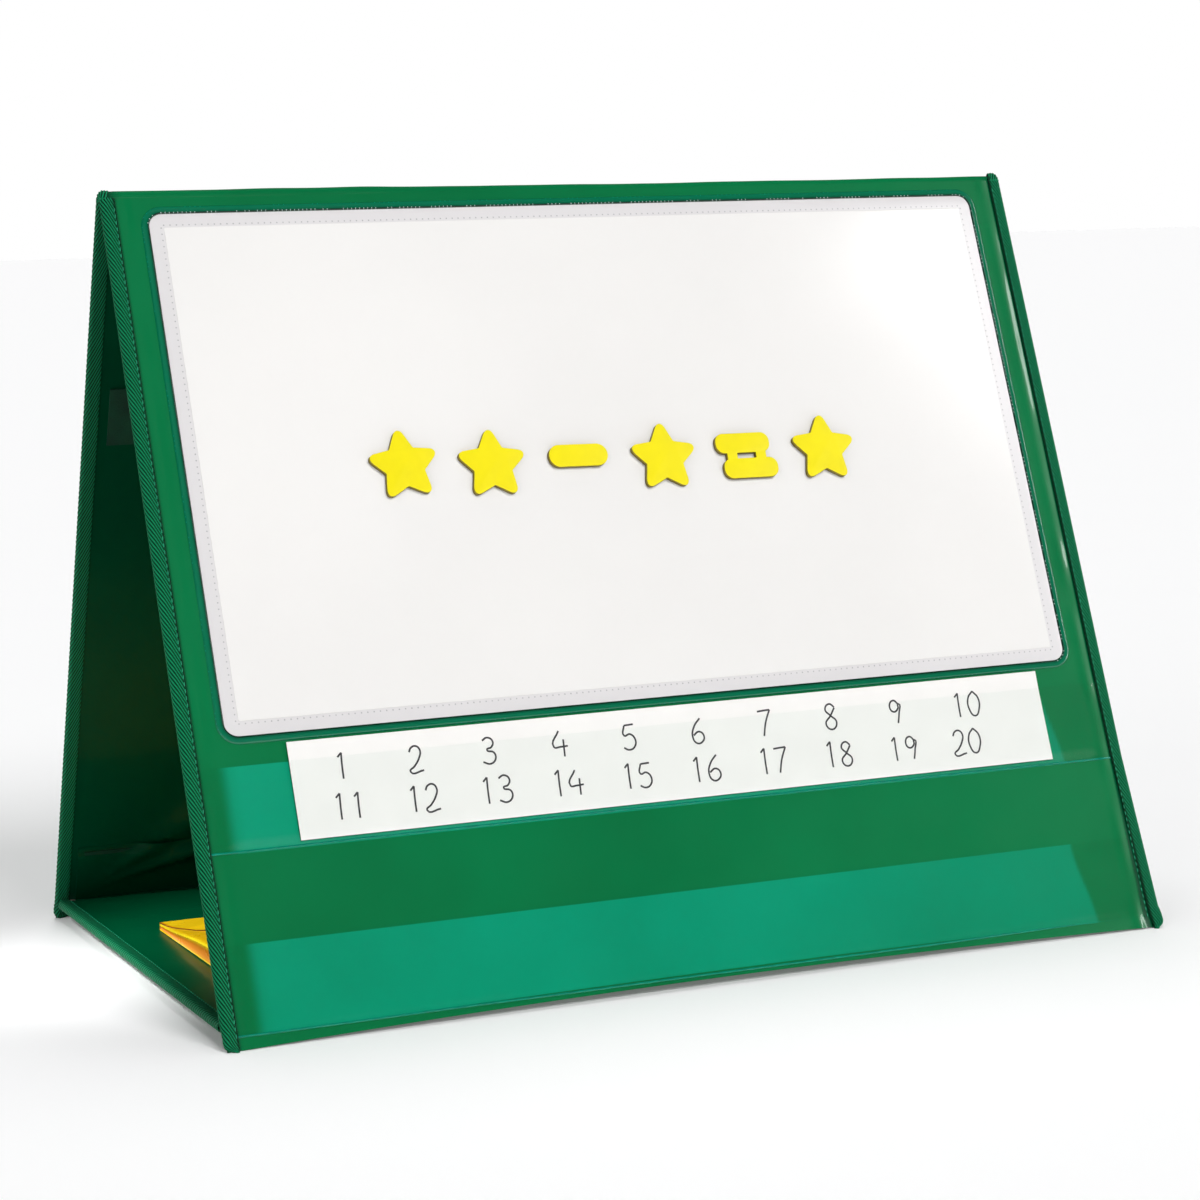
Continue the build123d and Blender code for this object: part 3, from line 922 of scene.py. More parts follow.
def makeRidge():
    look = ridgeLook

    def pointAt(x, share):
        swell = look["wave"] * ripple(x, 0.02 * share, 34 * mm, 40.0)
        swell += look["leftRise"] * ease(x, -272 * mm, -252 * mm) * (1 - ease(x, -190 * mm, 40 * mm))
        return ridgePoint(x, share, ridgeRadius - look["sink"] + swell * math.sin(math.pi * share))

    ends = halfWidth - 1 * mm
    fold = softGrid("ridgeFold", stops(-ends, ends, 3.3 * mm), stops(0.0, 1.0, 1 / look["steps"]), pointAt)
    # no painted film reflection on the ridge
    addShare(fold, "underFilm", lambda p: 0.0)
    # painted shade beside the tape on the ridge
    addShare(fold, "groove", grooveAt)
    addWall(fold, look["wall"])
    tidyNormals(fold)
    smooth(fold, 60)
    fold.data.materials.append(coverVinyl)
    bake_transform(fold)
    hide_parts("ridge_fold_vinyl")


def makeRidgeTape(edge):
    sign = -1 if edge == "left" else 1
    arc = ridgeRadius * (rearAngle - frontAngle)
    thickness = -nodeRange("front_lining", "front")[0].z

    def pointAt(share, along, lift):
        inset, height, (outA, outW) = tapeSection(thickness, share)
        turn = min(max(along / arc, -0.02), 1.02)
        puff = ridgeLook["tapePuff"] * math.sin(math.pi * min(max(turn, 0.0), 1.0))
        puff *= ease(height, -1 * mm, 2 * mm)
        radius = max(ridgeRadius - thickness / 2 + height + outW * lift + puff, 0.15 * mm)
        return ridgePoint(sign * (halfWidth - inset - outA * lift), turn, radius)

    tape = tapeStrip(f"ridgeBinding{edge.capitalize()}", -1 * mm, arc + 2 * mm, -sign, pointAt)
    tidyNormals(tape)
    smooth(tape, 60)
    tape.data.materials.append(twillTape)
    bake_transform(tape)


makeRidge()
makeRidgeTape("left")
makeRidgeTape("right")
bpy.data.objects.remove(stitch)
print("bindings and ridge ready")

# write-on sheet with its clear rim
sheetLook = dict(
    corner=7 * mm,
    borderSoft=0.12 * mm,
    fieldInset=7.3 * mm,
    fieldCorner=1.0 * mm,
    fieldSoft=0.25 * mm,
    dotPitch=3.3 * mm,
    dotInset=6.0 * mm,
    dotRadius=0.42 * mm,
)


def roundedPlate(name, low, high, corner, bottom, top, soft=0.0):  # a flat plate with rounded corners
    clearSelection()
    bpy.ops.mesh.primitive_plane_add(size=1)
    plate = named(name)
    middle = (low + high) / 2
    pick(plate, "VERT", lambda v: True)
    bpy.ops.transform.resize(value=(high.x - low.x, high.y - low.y, 1), center_override=(0, 0, 0))
    bpy.ops.transform.translate(value=(middle.x, middle.y, bottom))
    bpy.ops.mesh.bevel(offset=corner, segments=10, affect="VERTICES")
    bpy.ops.mesh.select_mode(type="FACE")
    bpy.ops.mesh.select_all(action="SELECT")
    bpy.ops.mesh.extrude_region_move(TRANSFORM_OT_translate={"value": (0, 0, top - bottom)})
    bpy.ops.mesh.select_all(action="SELECT")
    bpy.ops.mesh.normals_make_consistent(inside=False)
    leaveEdit()
    if soft:
        rimHeight = top - 0.001 * mm
        ends = plate.data.vertices
        pick(plate, "EDGE", lambda e: all(ends[k].co.z > rimHeight for k in e.vertices))
        bpy.ops.mesh.bevel(offset=soft, segments=3, affect="EDGES")
        leaveEdit()
    return plate


def roundRectPath(low, high, corner, pitch, lift):  # even spots round a rectangle with rounded corners
    spots = []
    corners = [(high.x, low.y, -90), (high.x, high.y, 0), (low.x, high.y, 90), (low.x, low.y, 180)]

    def around(index, share):
        x, y, start = corners[index % 4]
        centre = Vector((x - math.copysign(corner, x - low.x - 1e-9), 0, lift))
        centre.y = y - corner if y == high.y else y + corner
        angle = math.radians(start + 90 * share)
        return centre + Vector((math.cos(angle), math.sin(angle), 0)) * corner

    for index in range(4):
        turns = max(int(corner * math.pi / 2 / pitch), 1)
        spots += [around(index, step / turns) for step in range(turns + 1)]
        run = around(index + 1, 0.0) - spots[-1]
        count = int(run.length / pitch)
        spots += [spots[-1] + run * (k / count) for k in range(1, count)][: count - 1]
    return spots


def markRow(name, radius, height, spots, material, slotName):  # a row of small marks: pressed ones, and painted glints on the rim
    one = tinyBall(name + "One", 8, 4, 1, (radius, radius, height))
    row = joinRow(name, one, [Matrix.Translation(spot) for spot in spots])
    bpy.data.objects.remove(one)
    row.data.transform(places["front"])
    smooth(row, 80)
    give(row, material, slotName, "front_panel")


def makeWriteOnSheet():
    look = sheetLook
    low, high = nodeRange("write_on_sheet", "front")
    border = 0.32 * mm
    plate = roundedPlate("writeOnSheet", low, high, look["corner"], 0.02 * mm, border, look["borderSoft"])
    plate.data.transform(places["front"])
    smooth(plate, 50)
    give(plate, sheetBorder, "write_on_white", "front_panel", "write_on_sheet")
    inset = Vector((look["fieldInset"], look["fieldInset"], 0))
    corner, soft = look["fieldCorner"], look["fieldSoft"]
    field = roundedPlate("writeOnField", low + inset, high - inset, corner, border - 0.02 * mm, high.z, soft)
    field.data.transform(places["front"])
    smooth(field, 50)
    give(field, sheetField, "write_on_white", "front_panel")
    inset = Vector((look["dotInset"], look["dotInset"], 0))
    spots = roundRectPath(low + inset, high - inset, 1.5 * mm, look["dotPitch"], border)
    markRow("sheetWeldDots", look["dotRadius"], 0.06 * mm, spots, weldMark, "write_on_white")


rimLook = dict(
    steps=((0.45, 0.34), (0.55, 0.1), (0.9, -0.16), (0.9, 0.02), (0.7, 0.1), (0.25, -0.25)),
    corner=11 * mm,
    grooveInset=3.3 * mm,
    speckPitch=2.2 * mm,
    speckSize=(0.5 * mm, 0.22 * mm),
    litWidth=9 * mm,
    weldInset=0.5 * mm,
    weldPitch=2.6 * mm,
    weldSize=(0.42 * mm, 0.1 * mm),
)


def makeRim():
    look = rimLook
    low, high = nodeRange("clear_rim", "front")
    plate = roundedPlate("clearRim", low, high, look["corner"], -0.2 * mm, 0.06 * mm)
    pick(plate, "FACE", lambda f: f.normal.z > 0.9)
    for width, rise in look["steps"]:
        bpy.ops.mesh.inset(thickness=width * mm, depth=rise * mm)
    bpy.ops.mesh.delete(type="FACE")
    leaveEdit()
    pick(plate, "FACE", lambda f: f.normal.z < -0.9)
    bpy.ops.mesh.delete(type="FACE")
    leaveEdit()
    middle, half = (low + high) / 2, (high - low) / 2

    def fromEdge(p):  # how far in from the rim's rounded outline
        across = max(abs(p.x - middle.x) - half.x + look["corner"], 0.0)
        above = max(abs(p.y - middle.y) - half.y + look["corner"], 0.0)
        if across and above:
            return look["corner"] - math.hypot(across, above)
        return min(half.x - abs(p.x - middle.x), half.y - abs(p.y - middle.y))

    # painted contact shadow: dark from about 3 mm in from the rim's outline, towards the sheet
    addShare(plate, "edge", lambda p: ease(fromEdge(p), 2.6 * mm, 3.1 * mm))
    addWall(plate, 0.12 * mm, 0)
    plate.data.transform(places["front"])
    smooth(plate, 60)
    give(plate, rimVinyl, "clear_vinyl", "front_panel", "clear_rim")
    inset = Vector((look["grooveInset"], look["grooveInset"], 0))
    corner = look["corner"] - look["grooveInset"]
    path = roundRectPath(low + inset, high - inset, corner, look["speckPitch"], 0.3 * mm)
    # painted glints: specks only along the rim's lit top and right
    lit = [p for p in path if p.y > high.y - look["litWidth"] or p.x > high.x - look["litWidth"]]
    bright = [p for p in lit if ripple(p.x, p.y, 5 * mm, 3.0) > -0.2]
    markRow("rimSpecks", *look["speckSize"], bright, weldWhite, "clear_vinyl")
    inset = Vector((look["weldInset"], look["weldInset"], 0))
    corner = look["corner"] - look["weldInset"]
    path = roundRectPath(low + inset, high - inset, corner, look["weldPitch"], 0.38 * mm)
    dull = [p for p in path if ripple(p.x, p.y, 9 * mm, 6.0) > 0.1]
    markRow("rimWeld", *look["weldSize"], dull, weldTeal, "clear_vinyl")


makeWriteOnSheet()
makeRim()
print("write-on sheet ready")

# clear pockets
pocketLook = dict(wall=0.25 * mm, step=3.6 * mm, foot=1.5 * mm, endRun=17 * mm, wave=0.22 * mm, hug=0.34 * mm)


def pieceName(node, ending):
    words = node.split("_")
    return words[0] + "".join(word.capitalize() for word in words[1:]) + ending


def makePocket(node, side, seed):
    look = pocketLook
    low, high = pocketRanges[node]
    gap = high.z - look["wall"]

    def pointAt(x, u):
        rise = ease(u, low.y + look["foot"], low.y + 6 * mm)
        ends = ease(x - low.x, 0.0, look["endRun"]) * ease(high.x - x, 0.0, look["endRun"])
        wave = look["wave"] * max(ripple(x, u, 48 * mm, seed) + 0.25, 0.0) * rise * ends
        closed = coverHeight(side, x, u) + look["hug"]
        return Vector((x, u, closed + max(gap - closed, 0.0) * rise * ends + wave))

    nearEnds = [sign * (240 + 1.5 * k) * mm for k in range(9) for sign in (-1, 1)]
    columns = stops(low.x, high.x, look["step"], *nearEnds)
    rows = stops(low.y, high.y, look["step"], low.y + 2 * mm)
    film = softGrid(pieceName(node, "Film"), columns, rows, pointAt)
    addWall(film, look["wall"], 1)
    film.data.transform(places[side])
    tidyNormals(film)
    smooth(film, 50)
    give(film, pocketFilm, "clear_vinyl", bodies[side], node)


def makeSeam(node, side):  # the welded line at a pocket's foot, with small pressed marks
    low, high = pocketRanges[node]
    line = low.y + 0.9 * mm

    def pointAt(x, share):
        u = line + 0.3 * mm * ripple(x, 0.0, 90 * mm, line * 100) + (share - 0.5) * 1.1 * mm
        beat = 0.05 * mm * math.sin(2 * math.pi * x / (2.1 * mm))
        height = coverHeight(side, x, u) + 0.2 * mm + (0.2 * mm + beat) * math.sin(math.pi * share)
        return Vector((x, u, height))

    seam = softGrid(pieceName(node, "Seam"), stops(low.x, high.x, 0.55 * mm), stops(0.0, 1.0, 0.25), pointAt)
    addWall(seam, 0.15 * mm)
    seam.data.transform(places[side])
    smooth(seam, 80)
    give(seam, weldTeal, "clear_vinyl", bodies[side])


makePocket("upper_pocket", "front", 50.0)
makePocket("lower_pocket", "front", 61.0)
makeSeam("upper_pocket", "front")
makeSeam("lower_pocket", "front")
for index, node in enumerate(rearPockets):
    makePocket(node, "rear", 70.0 + index * 3)
    makeSeam(node, "rear")
print("pockets ready")

# card strip with numbers drawn in pen
cardLook = dict(curl=0.45 * mm, penRadius=0.48 * mm, penFlat=0.12, digitHeight=13 * mm, slant=0.05)
digitStrokes = {  # pen strokes, across and up in hundredths of a digit's height
    "0": "30 100 8 75 6 28 28 0 50 25 52 72 30 99",
    "1": "16 84 32 100 / 32 100 31 50 32 0",
    "2": "5 78 15 95 36 99 50 80 42 50 22 22 3 2 58 3",
    "3": "8 90 30 100 50 84 42 62 24 54 50 42 55 18 33 0 4 9",
    "4": "30 100 5 40 30 38 62 40 / 46 66 45 0",
    "5": "13 98 9 58 34 62 54 40 48 10 24 0 2 10 / 13 98 52 100",
    "6": "44 100 17 70 5 30 20 2 44 5 54 28 36 47 10 34",
    "7": "3 97 30 99 56 100 / 56 100 33 50 20 0",
    "8": "50 86 30 100 10 80 28 56 52 27 30 0 6 22 30 54 50 84",
    "9": "50 80 28 98 8 76 22 50 46 62 51 82 48 40 38 0",
}


def strokesOf(digit):
    for stroke in digitStrokes[digit].split(" / "):
        values = [int(v) / 100 for v in stroke.split()]
        yield list(zip(values[::2], values[1::2]))


def cardHeight(x, u, low, high):
    return cardLook["curl"] * ease(u, high.y - 12 * mm, high.y) * (0.3 + 0.7 * ease(x, 80 * mm, high.x))


def makeCard():
    low, high = nodeRange("sentence_strip", "front")
    columns, rows = stops(low.x, high.x, 5 * mm), stops(low.y, high.y, 4 * mm)

    def pointAt(x, u):
        return Vector((x, u, low.z + cardHeight(x, u, low, high)))

    card = softGrid("sentenceStrip", columns, rows, pointAt)
    addWall(card, high.z - low.z, 1)
    card.data.transform(places["front"])
    tidyNormals(card)
    smooth(card)
    give(card, cardWhite, "white_card", "sentence_strip", "sentence_strip")


def writeNumbers(name, numbers, start, pitch, baseLine):  # pen strokes as curves, made a flat mesh
    look = cardLook
    low, high = nodeRange("sentence_strip", "front")
    curve = bpy.data.curves.new(name, "CURVE")
    curve.dimensions = "3D"
    curve.bevel_depth = look["penRadius"]
    curve.bevel_resolution = 1
    curve.resolution_u = 5
    size = look["digitHeight"]
    for index, number in enumerate(numbers):
        x = start + index * pitch
        for place, digit in enumerate(str(number)):
            grow = 1 + 0.07 * ripple(index * 3.1, place * 1.7, 1.0, 4.0)
            left = x + place * size * 0.72
            drop = baseLine + 0.7 * mm * ripple(index * 1.3, place * 2.2, 1.0, 8.0)
            for stroke in strokesOf(digit):
                spline = curve.splines.new("BEZIER")
                spline.bezier_points.add(len(stroke) - 1)
                for point, (a, b) in zip(spline.bezier_points, stroke):
                    point.co = (left + (a + look["slant"] * b) * size * grow, drop + b * size * grow, 0)
                    point.handle_left_type = point.handle_right_type = "AUTO"
    pen = bpy.data.objects.new(name, curve)
    bpy.context.collection.objects.link(pen)
    choose(pen)
    bpy.ops.object.convert(target="MESH")
    pen = named(name)
    for v in pen.data.vertices:
        v.co.z = high.z + cardHeight(v.co.x, v.co.y, low, high) + 0.04 * mm + v.co.z * look["penFlat"]
    pen.data.transform(places["front"])
    tidyNormals(pen)
    smooth(pen, 60)
    give(pen, penInk, "white_card", "sentence_strip")


makeCard()
cardLow, cardHigh = nodeRange("sentence_strip", "front")
writeNumbers("numberRowOne", range(1, 11), cardLow.x + 22 * mm, 38.6 * mm, cardLow.y + 28.0 * mm)
writeNumbers("numberRowTwo", range(11, 21), cardLow.x + 18 * mm, 38.6 * mm, cardLow.y + 8.0 * mm)
print("card ready")

# foam magnets on the write-on sheet, each a foam front on a magnet sheet
magnetLook = dict(
    soft=0.2 * mm,
    starOuter=22 * mm,
    starInner=11 * mm,
    starTip=3.2 * mm,
    starNotch=0.5 * mm,
    minusSize=(33.0 * mm, 11.9 * mm),
    barSize=(31.6 * mm, 10.9 * mm),
    barRound=4.8 * mm,
    barShift=2.9 * mm,
    barGap=3.0 * mm,
    waist=22.8 * mm,
    window=10.9 * mm,
)


def raiseOutline(piece, thickness):  # a flat outline becomes a slab
    pick(piece, "FACE", lambda f: True)
    bpy.ops.mesh.extrude_region_move(TRANSFORM_OT_translate={"value": (0, 0, thickness)})
    bpy.ops.mesh.select_all(action="SELECT")
    bpy.ops.mesh.normals_make_consistent(inside=False)
    leaveEdit()


def starOutline():
    look = magnetLook
    clearSelection()
    bpy.ops.mesh.primitive_circle_add(vertices=10, radius=look["starOuter"], fill_type="NGON")
    star = named("starStart")
    top = max(star.data.vertices, key=lambda v: v.co.y).index
    pick(star, "VERT", lambda v: (v.index - top) % 2 == 1)
    shrink = look["starInner"] / look["starOuter"]
    bpy.ops.transform.resize(value=(shrink, shrink, 1), center_override=(0, 0, 0))
    leaveEdit()
    across, along = (look["starInner"] * part(math.pi / 5) for part in (math.sin, math.cos))
    half = math.atan2(across, look["starOuter"] - along)
    cut = look["starTip"] / math.tan(half)
    pick(star, "VERT", lambda v: v.co.length > look["starInner"] * 1.5)
    bpy.ops.mesh.bevel(offset=cut, offset_type="OFFSET", segments=10, affect="VERTICES")
    leaveEdit()
    pick(star, "VERT", lambda v: v.co.length < look["starInner"] * 1.01)
    bpy.ops.mesh.bevel(offset=look["starNotch"], segments=4, affect="VERTICES")
    leaveEdit()
    return star


def barOutline(name, x, y, size, corner):
    clearSelection()
    bpy.ops.mesh.primitive_plane_add(size=1, location=(0, 0, 0))
    bar = named(name)
    pick(bar, "VERT", lambda v: True)
    bpy.ops.transform.resize(value=(size[0], size[1], 1), center_override=(0, 0, 0))
    bpy.ops.transform.translate(value=(x, y, 0))
    if corner:
        bpy.ops.mesh.bevel(offset=corner, segments=9, affect="VERTICES")
    leaveEdit()
    return bar


def equalsOutline():  # two rounded bars joined by a waist with a window through it
    look = magnetLook
    rise = (look["barSize"][1] + look["barGap"]) / 2
    upper = barOutline("equalsStart", -look["barShift"] / 2, rise, look["barSize"], look["barRound"])
    lower = barOutline("equalsLower", look["barShift"] / 2, -rise, look["barSize"], look["barRound"])
    side = (look["waist"] - look["window"]) / 2
    webs = []
    for sign in (-1, 1):
        x = sign * (look["window"] + side) / 2
        webs.append(barOutline("equalsWeb", x, 0, (side, look["barGap"] + 2 * mm), 0.0))
    return upper, [lower] + webs


def makeMagnet(body, stem, x, u, turn, kind):
    look = magnetLook
    layers = (("foam", foamYellow, "yellow_foam"), ("magnet", magnetSheet, "magnet_sheet"))
    for layer, material, slotName in layers:
        node = f"{stem}_{layer}"
        low, high = nodeRange(node, "front")
        soft = look["soft"] if layer == "foam" else 0.0
        others = []
        if kind == "star":
            piece = starOutline()
        elif kind == "minus":
            piece = barOutline("minusStart", 0, 0, look["minusSize"], look["minusSize"][1] / 2 - 0.06 * mm)
        else:
            piece, others = equalsOutline()
        for part in [piece] + others:
            raiseOutline(part, high.z - low.z)
        for part in others:
            piece.modifiers.new("joined", "BOOLEAN").object = part
            piece.modifiers["joined"].operation = "UNION"
            piece.modifiers["joined"].solver = "EXACT"
            applyAll(piece)
            bpy.data.objects.remove(part)
        if others:
            pick(piece, "FACE", lambda f: True)
            bpy.ops.mesh.dissolve_limited(angle_limit=math.radians(1))
            leaveEdit()
        if soft:
            edgeFaces = {}
            for f in piece.data.polygons:
                for key in f.edge_keys:
                    edgeFaces.setdefault(key, []).append(f.normal.z)
            front = {key for key, tilts in edgeFaces.items() if max(tilts) > 0.9 and min(tilts) < 0.5}
            pick(piece, "EDGE", lambda e: e.key in front)
            bpy.ops.mesh.bevel(offset=soft, segments=3, affect="EDGES")
            leaveEdit()
            # painted shade: the side faces take the dark olive edge colour
            share = piece.data.attributes.new("edge", "FLOAT", "FACE")
            for f in piece.data.polygons:
                share.data[f.index].value = 1.0 if abs(f.normal.z) < 0.35 else 0.0
        piece.data.transform(Matrix.Translation((x, u, low.z)) @ Matrix.Rotation(math.radians(-turn), 4, "Z"))
        piece.data.transform(places["front"])
        piece.name = pieceName(node, "")
        piece.data.name = piece.name
        smooth(piece, 35)
        give(piece, material, slotName, body, node)


whiteboardMiddle = sum(v.y for v in nodeRange("write_on_sheet", "front")) / 2
rowHeight = whiteboardMiddle - 5.5 * mm
# across, drop and turn of each star
starSpots = [(-124.5, -0.9, -3.0), (-76.8, 1.3, 1.5), (20.0, 3.0, 1.6), (114.5, 3.2, 2.0)]
for index, (x, drop, turn) in enumerate(starSpots, 1):
    makeMagnet(f"star_{index}", f"star_{index}", x * mm, rowHeight - drop * mm, turn, "star")
makeMagnet("minus_sign", "minus", -28.4 * mm, rowHeight + 1.0 * mm, 1.0, "minus")
makeMagnet("equals_sign", "equals", 68.1 * mm, rowHeight - 4.4 * mm, 0.5, "equals")
print("magnets ready")

# strips along the base's front and rear edges
def pathPoint(path, share):  # a point at a share of the way along straight runs
    runs = [(b - a).length for a, b in zip(path, path[1:])]
    goal = share * sum(runs)
    for a, b, run in zip(path, path[1:], runs):
        if goal <= run or (a, b) == (path[-2], path[-1]):
            return a.lerp(b, min(goal / run, 1.0))
        goal -= run


def makeHingeStrip():
    low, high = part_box("base_hinge_strip")
    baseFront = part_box("base_cover")[0]
    hem = places["front"] @ Vector((0, 7.6 * mm, -0.8 * mm))
    start = Vector((0, baseFront.y, baseFront.z + 0.1 * mm))
    path = [start + Vector((0, 0.6 * mm, 0.2 * mm)), start, baseAxis.copy(), hem]

    def pointAt(x, share):
        p = pathPoint(path, share)
        return Vector((x, p.y, p.z))

    strip = softGrid("baseHingeStrip", stops(low.x, high.x, 8 * mm), stops(0.0, 1.0, 1 / 12), pointAt)
    addWall(strip, 0.3 * mm, 0)
    tidyNormals(strip)
    smooth(strip, 80)
    strip.data.materials.append(coverVinyl)
    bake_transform(strip)
    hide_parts("base_hinge_strip")


flapLook = dict(
    shares=(0.1, 0.2),  # of its length, up to the hinge and up to the foot
    footU=14 * mm,
    overStrips=5.05 * mm,
    atTop=3.2 * mm,
    thinFrom=0.8,
    bend=2 * mm,
)


def makeClosureFlap():
    look = flapLook
    low, high = flapLow, flapHigh
    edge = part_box("base_lining")[1]
    start = Vector((0, edge.y - 0.3 * mm, edge.z - 0.1 * mm))
    hinge = Vector((0, flapAxis.y, flapAxis.z + 0.3 * mm))

    def pointAt(x, share):  # x is the rear panel's own, so plus is the chart's left
        along = Vector((-x, 0, 0))
        foot = places["rear"] @ Vector((x, look["footU"], -look["overStrips"]))
        atHinge, atFoot = look["shares"]
        if share < atHinge:
            return along + start.lerp(hinge, share / atHinge)
        if share < atFoot:
            return (along + hinge).lerp(foot, (share - atHinge) / (atFoot - atHinge))
        v = (share - atFoot) / (1 - atFoot)
        u = look["footU"] + v * (high.y - look["footU"])
        depth = look["overStrips"] + (look["atTop"] - look["overStrips"]) * ease(v, look["thinFrom"], 1.0)
        fold = softFold(-x, u) + 0.5 * mm * max(ripple(x, u, 34 * mm, 88.0), 0.0) * ease(v, 0.05, 0.4)
        return places["rear"] @ Vector((x, u, -depth - fold))

    flap = softGrid("closureFlap", stops(low.x, high.x, 2.9 * mm), stops(0.0, 1.0, 0.025), pointAt)
    addWall(flap, 0.3 * mm, 0)
    tidyNormals(flap)
    smooth(flap, 80)
    flap.data.materials.append(liningVinyl)
    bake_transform(flap)
    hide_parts("closure_flap")


makeHingeStrip()
makeClosureFlap()
print("base edge strips ready")

# storage pouch lying on the base
pouchLook = dict(
    corner=5 * mm,
    thin=2.8 * mm,
    net=1.7 * mm,
    crease=0.9 * mm,
    tuck=1.1 * mm,
    rearSwell=0.9,
    sideRun=(32 * mm, 90 * mm),
    flapWall=0.6 * mm,
    flapTaper=34 * mm,
    hinge=7 * mm,
)
bagLow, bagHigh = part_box("pouch_bag")


def bagTop(x, y):  # the bag is thin at its rear left and right corners and full further in
    look = pouchLook
    full = bagHigh.z - bagLow.z - 0.4 * mm
    inX, inY = min(x - bagLow.x, bagHigh.x - x), bagHigh.y - y
    swell = min(ease(inY, 0.0, 95 * mm) + 0.5 * ease(inX, 0.0, 60 * mm) * ease(inY, 0.0, 30 * mm), 1.0)
    swell = max(swell, look["rearSwell"] * ease(inX, *look["sideRun"]))
    swell *= 1 - 0.6 * ease(y - bagLow.y, 24 * mm, 0.0)
    height = look["thin"] + (full - look["thin"]) * swell
    crease = look["crease"] * min(ripple(x * 0.8, y, 26 * mm, 120.0) - 0.2, 0.0)
    return bagLow.z + height + crease * ease(min(inX, inY), 2 * mm, 14 * mm)


def makePouch():
    look = pouchLook
    size = bagHigh - bagLow
    bag = roundedPlate("pouchBag", bagLow, bagHigh, look["corner"], bagLow.z, bagHigh.z)
    bag.modifiers.new("net", "REMESH").mode = "VOXEL"
    bag.modifiers["net"].voxel_size = look["net"]
    applyAll(bag)

    def inside(x, y):
        return min(x - bagLow.x, bagHigh.x - x, y - bagLow.y, bagHigh.y - y)

    tones = []
    for v in bag.data.vertices:
        x, y, z = v.co
        share = min(max((z - bagLow.z) / size.z, 0.0), 1.0)
        near = inside(x, y)
        top = bagTop(x, y)
        v.co.z = bagLow.z + share * (top - bagLow.z)
        # painted shade on the bag's sides, painted highlight where they meet the top and bottom
        side = 1 - ease(near, 0.6 * mm, 1.6 * mm)
        rim = max(ease(share, 0.72, 0.95), 1 - ease(share, 0.0, 0.2))
        tones.append(0.62 - 0.32 * side * (1 - rim) + 0.38 * side * rim)
        tuck = look["tuck"] * math.sin(math.pi * share) * side
        for axis, spot in ((0, x), (1, y)):
            if near in (spot - bagLow[axis], bagHigh[axis] - spot):
                v.co[axis] += tuck if spot < (bagLow[axis] + bagHigh[axis]) / 2 else -tuck
    tone = bag.data.attributes.new("tone", "FLOAT", "POINT")
    for index, value in enumerate(tones):
        tone.data[index].value = value
    smooth(bag, 70)
    give(bag, yellowVinyl, "yellow_vinyl", "pouch", "pouch_bag")


def makePouchFlap():
    look = pouchLook
    low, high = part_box("pouch_flap")
    reach = high.y - low.y - 1.5 * mm
    left, right = bagLow.x + 1.5 * mm, bagHigh.x - 1.5 * mm

    def pointAt(s, t):
        pull = look["flapTaper"] * t**3.2 + 3 * mm * t
        x = left + pull + s * (right - left - 2 * pull)
        y = high.y - 1.0 * mm - t * reach - 3.0 * mm * ripple(s * 3, 0.0, 1.0, 140.0) * t
        lift = 0.35 * mm + 0.6 * mm * max(ripple(x, y, 24 * mm, 130.0), 0.0) * ease(t, 0.1, 0.5)
        return Vector((x, y, bagTop(x, min(y, bagHigh.y)) + lift))

    flap = softGrid("pouchFlap", stops(0.0, 1.0, 1 / 110), stops(0.0, 1.0, 1 / 34, 0.985), pointAt)
    middle = (left + right) / 2

    # painted shadow: a dark line along the flap's edge, over the bag
    def toneAt(p):
        t = (high.y - 1.0 * mm - p.y) / reach
        pull = look["flapTaper"] * max(t, 0.0) ** 3.2 + 3 * mm * t
        fromEdge = min((right - left) / 2 - pull - abs(p.x - middle), (1 - t) * reach)
        return 0.7 * ease(fromEdge, 0.2 * mm, 1.4 * mm)

    addShare(flap, "tone", toneAt)
    addWall(flap, look["flapWall"], 1)
    tidyNormals(flap)
    smooth(flap, 60)
    flap.data.materials.append(yellowVinyl)
    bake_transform(flap)
    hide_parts("pouch_flap")


makePouch()
makePouchFlap()
print("pouch ready")

# CAD pieces that stay as they are
finishes = {
    "front_board": greyBoard,
    "rear_board": greyBoard,
    "base_board": greyBoard,
    "steel_sheet": steelPlate,
    "closure_hook_strip": hookLoop,
    "closure_loop_strip": hookLoop,
    "storage_loop_band": hookLoop,
}
for node, material in finishes.items():
    mesh = frame["nodes"][node].data
    mesh.materials.clear()
    mesh.materials.append(material)

# floor, light and camera
sceneLook = dict(
    floorSize=60.0,
    floorColor=(0.86, 0.86, 0.865),
    floorLift=0.14,
    worldSoft=0.13,
    worldDim=0.05,
)
lampLook = {  # direction towards the lamp, strength and how wide it is in degrees
    "keyLamp": dict(toward=(0.16, -0.78, 0.60), strength=2.0, width=24),
    "sideLamp": dict(toward=(-0.80, -0.50, 0.33), strength=0.4, width=30),
    "topLamp": dict(toward=(0.05, 0.36, 0.93), strength=1.35, width=36),
}


def seenDirectly(nodes, links):  # 1 for camera, mirror and see-through rays
    path = nodes.new("ShaderNodeLightPath")
    total = path.outputs["Is Camera Ray"]
    for name in ("Is Glossy Ray", "Is Transmission Ray"):
        both = nodes.new("ShaderNodeMath")
        both.operation = "MAXIMUM"
        links.new(total, both.inputs[0])
        links.new(path.outputs[name], both.inputs[1])
        total = both.outputs[0]
    return total, path


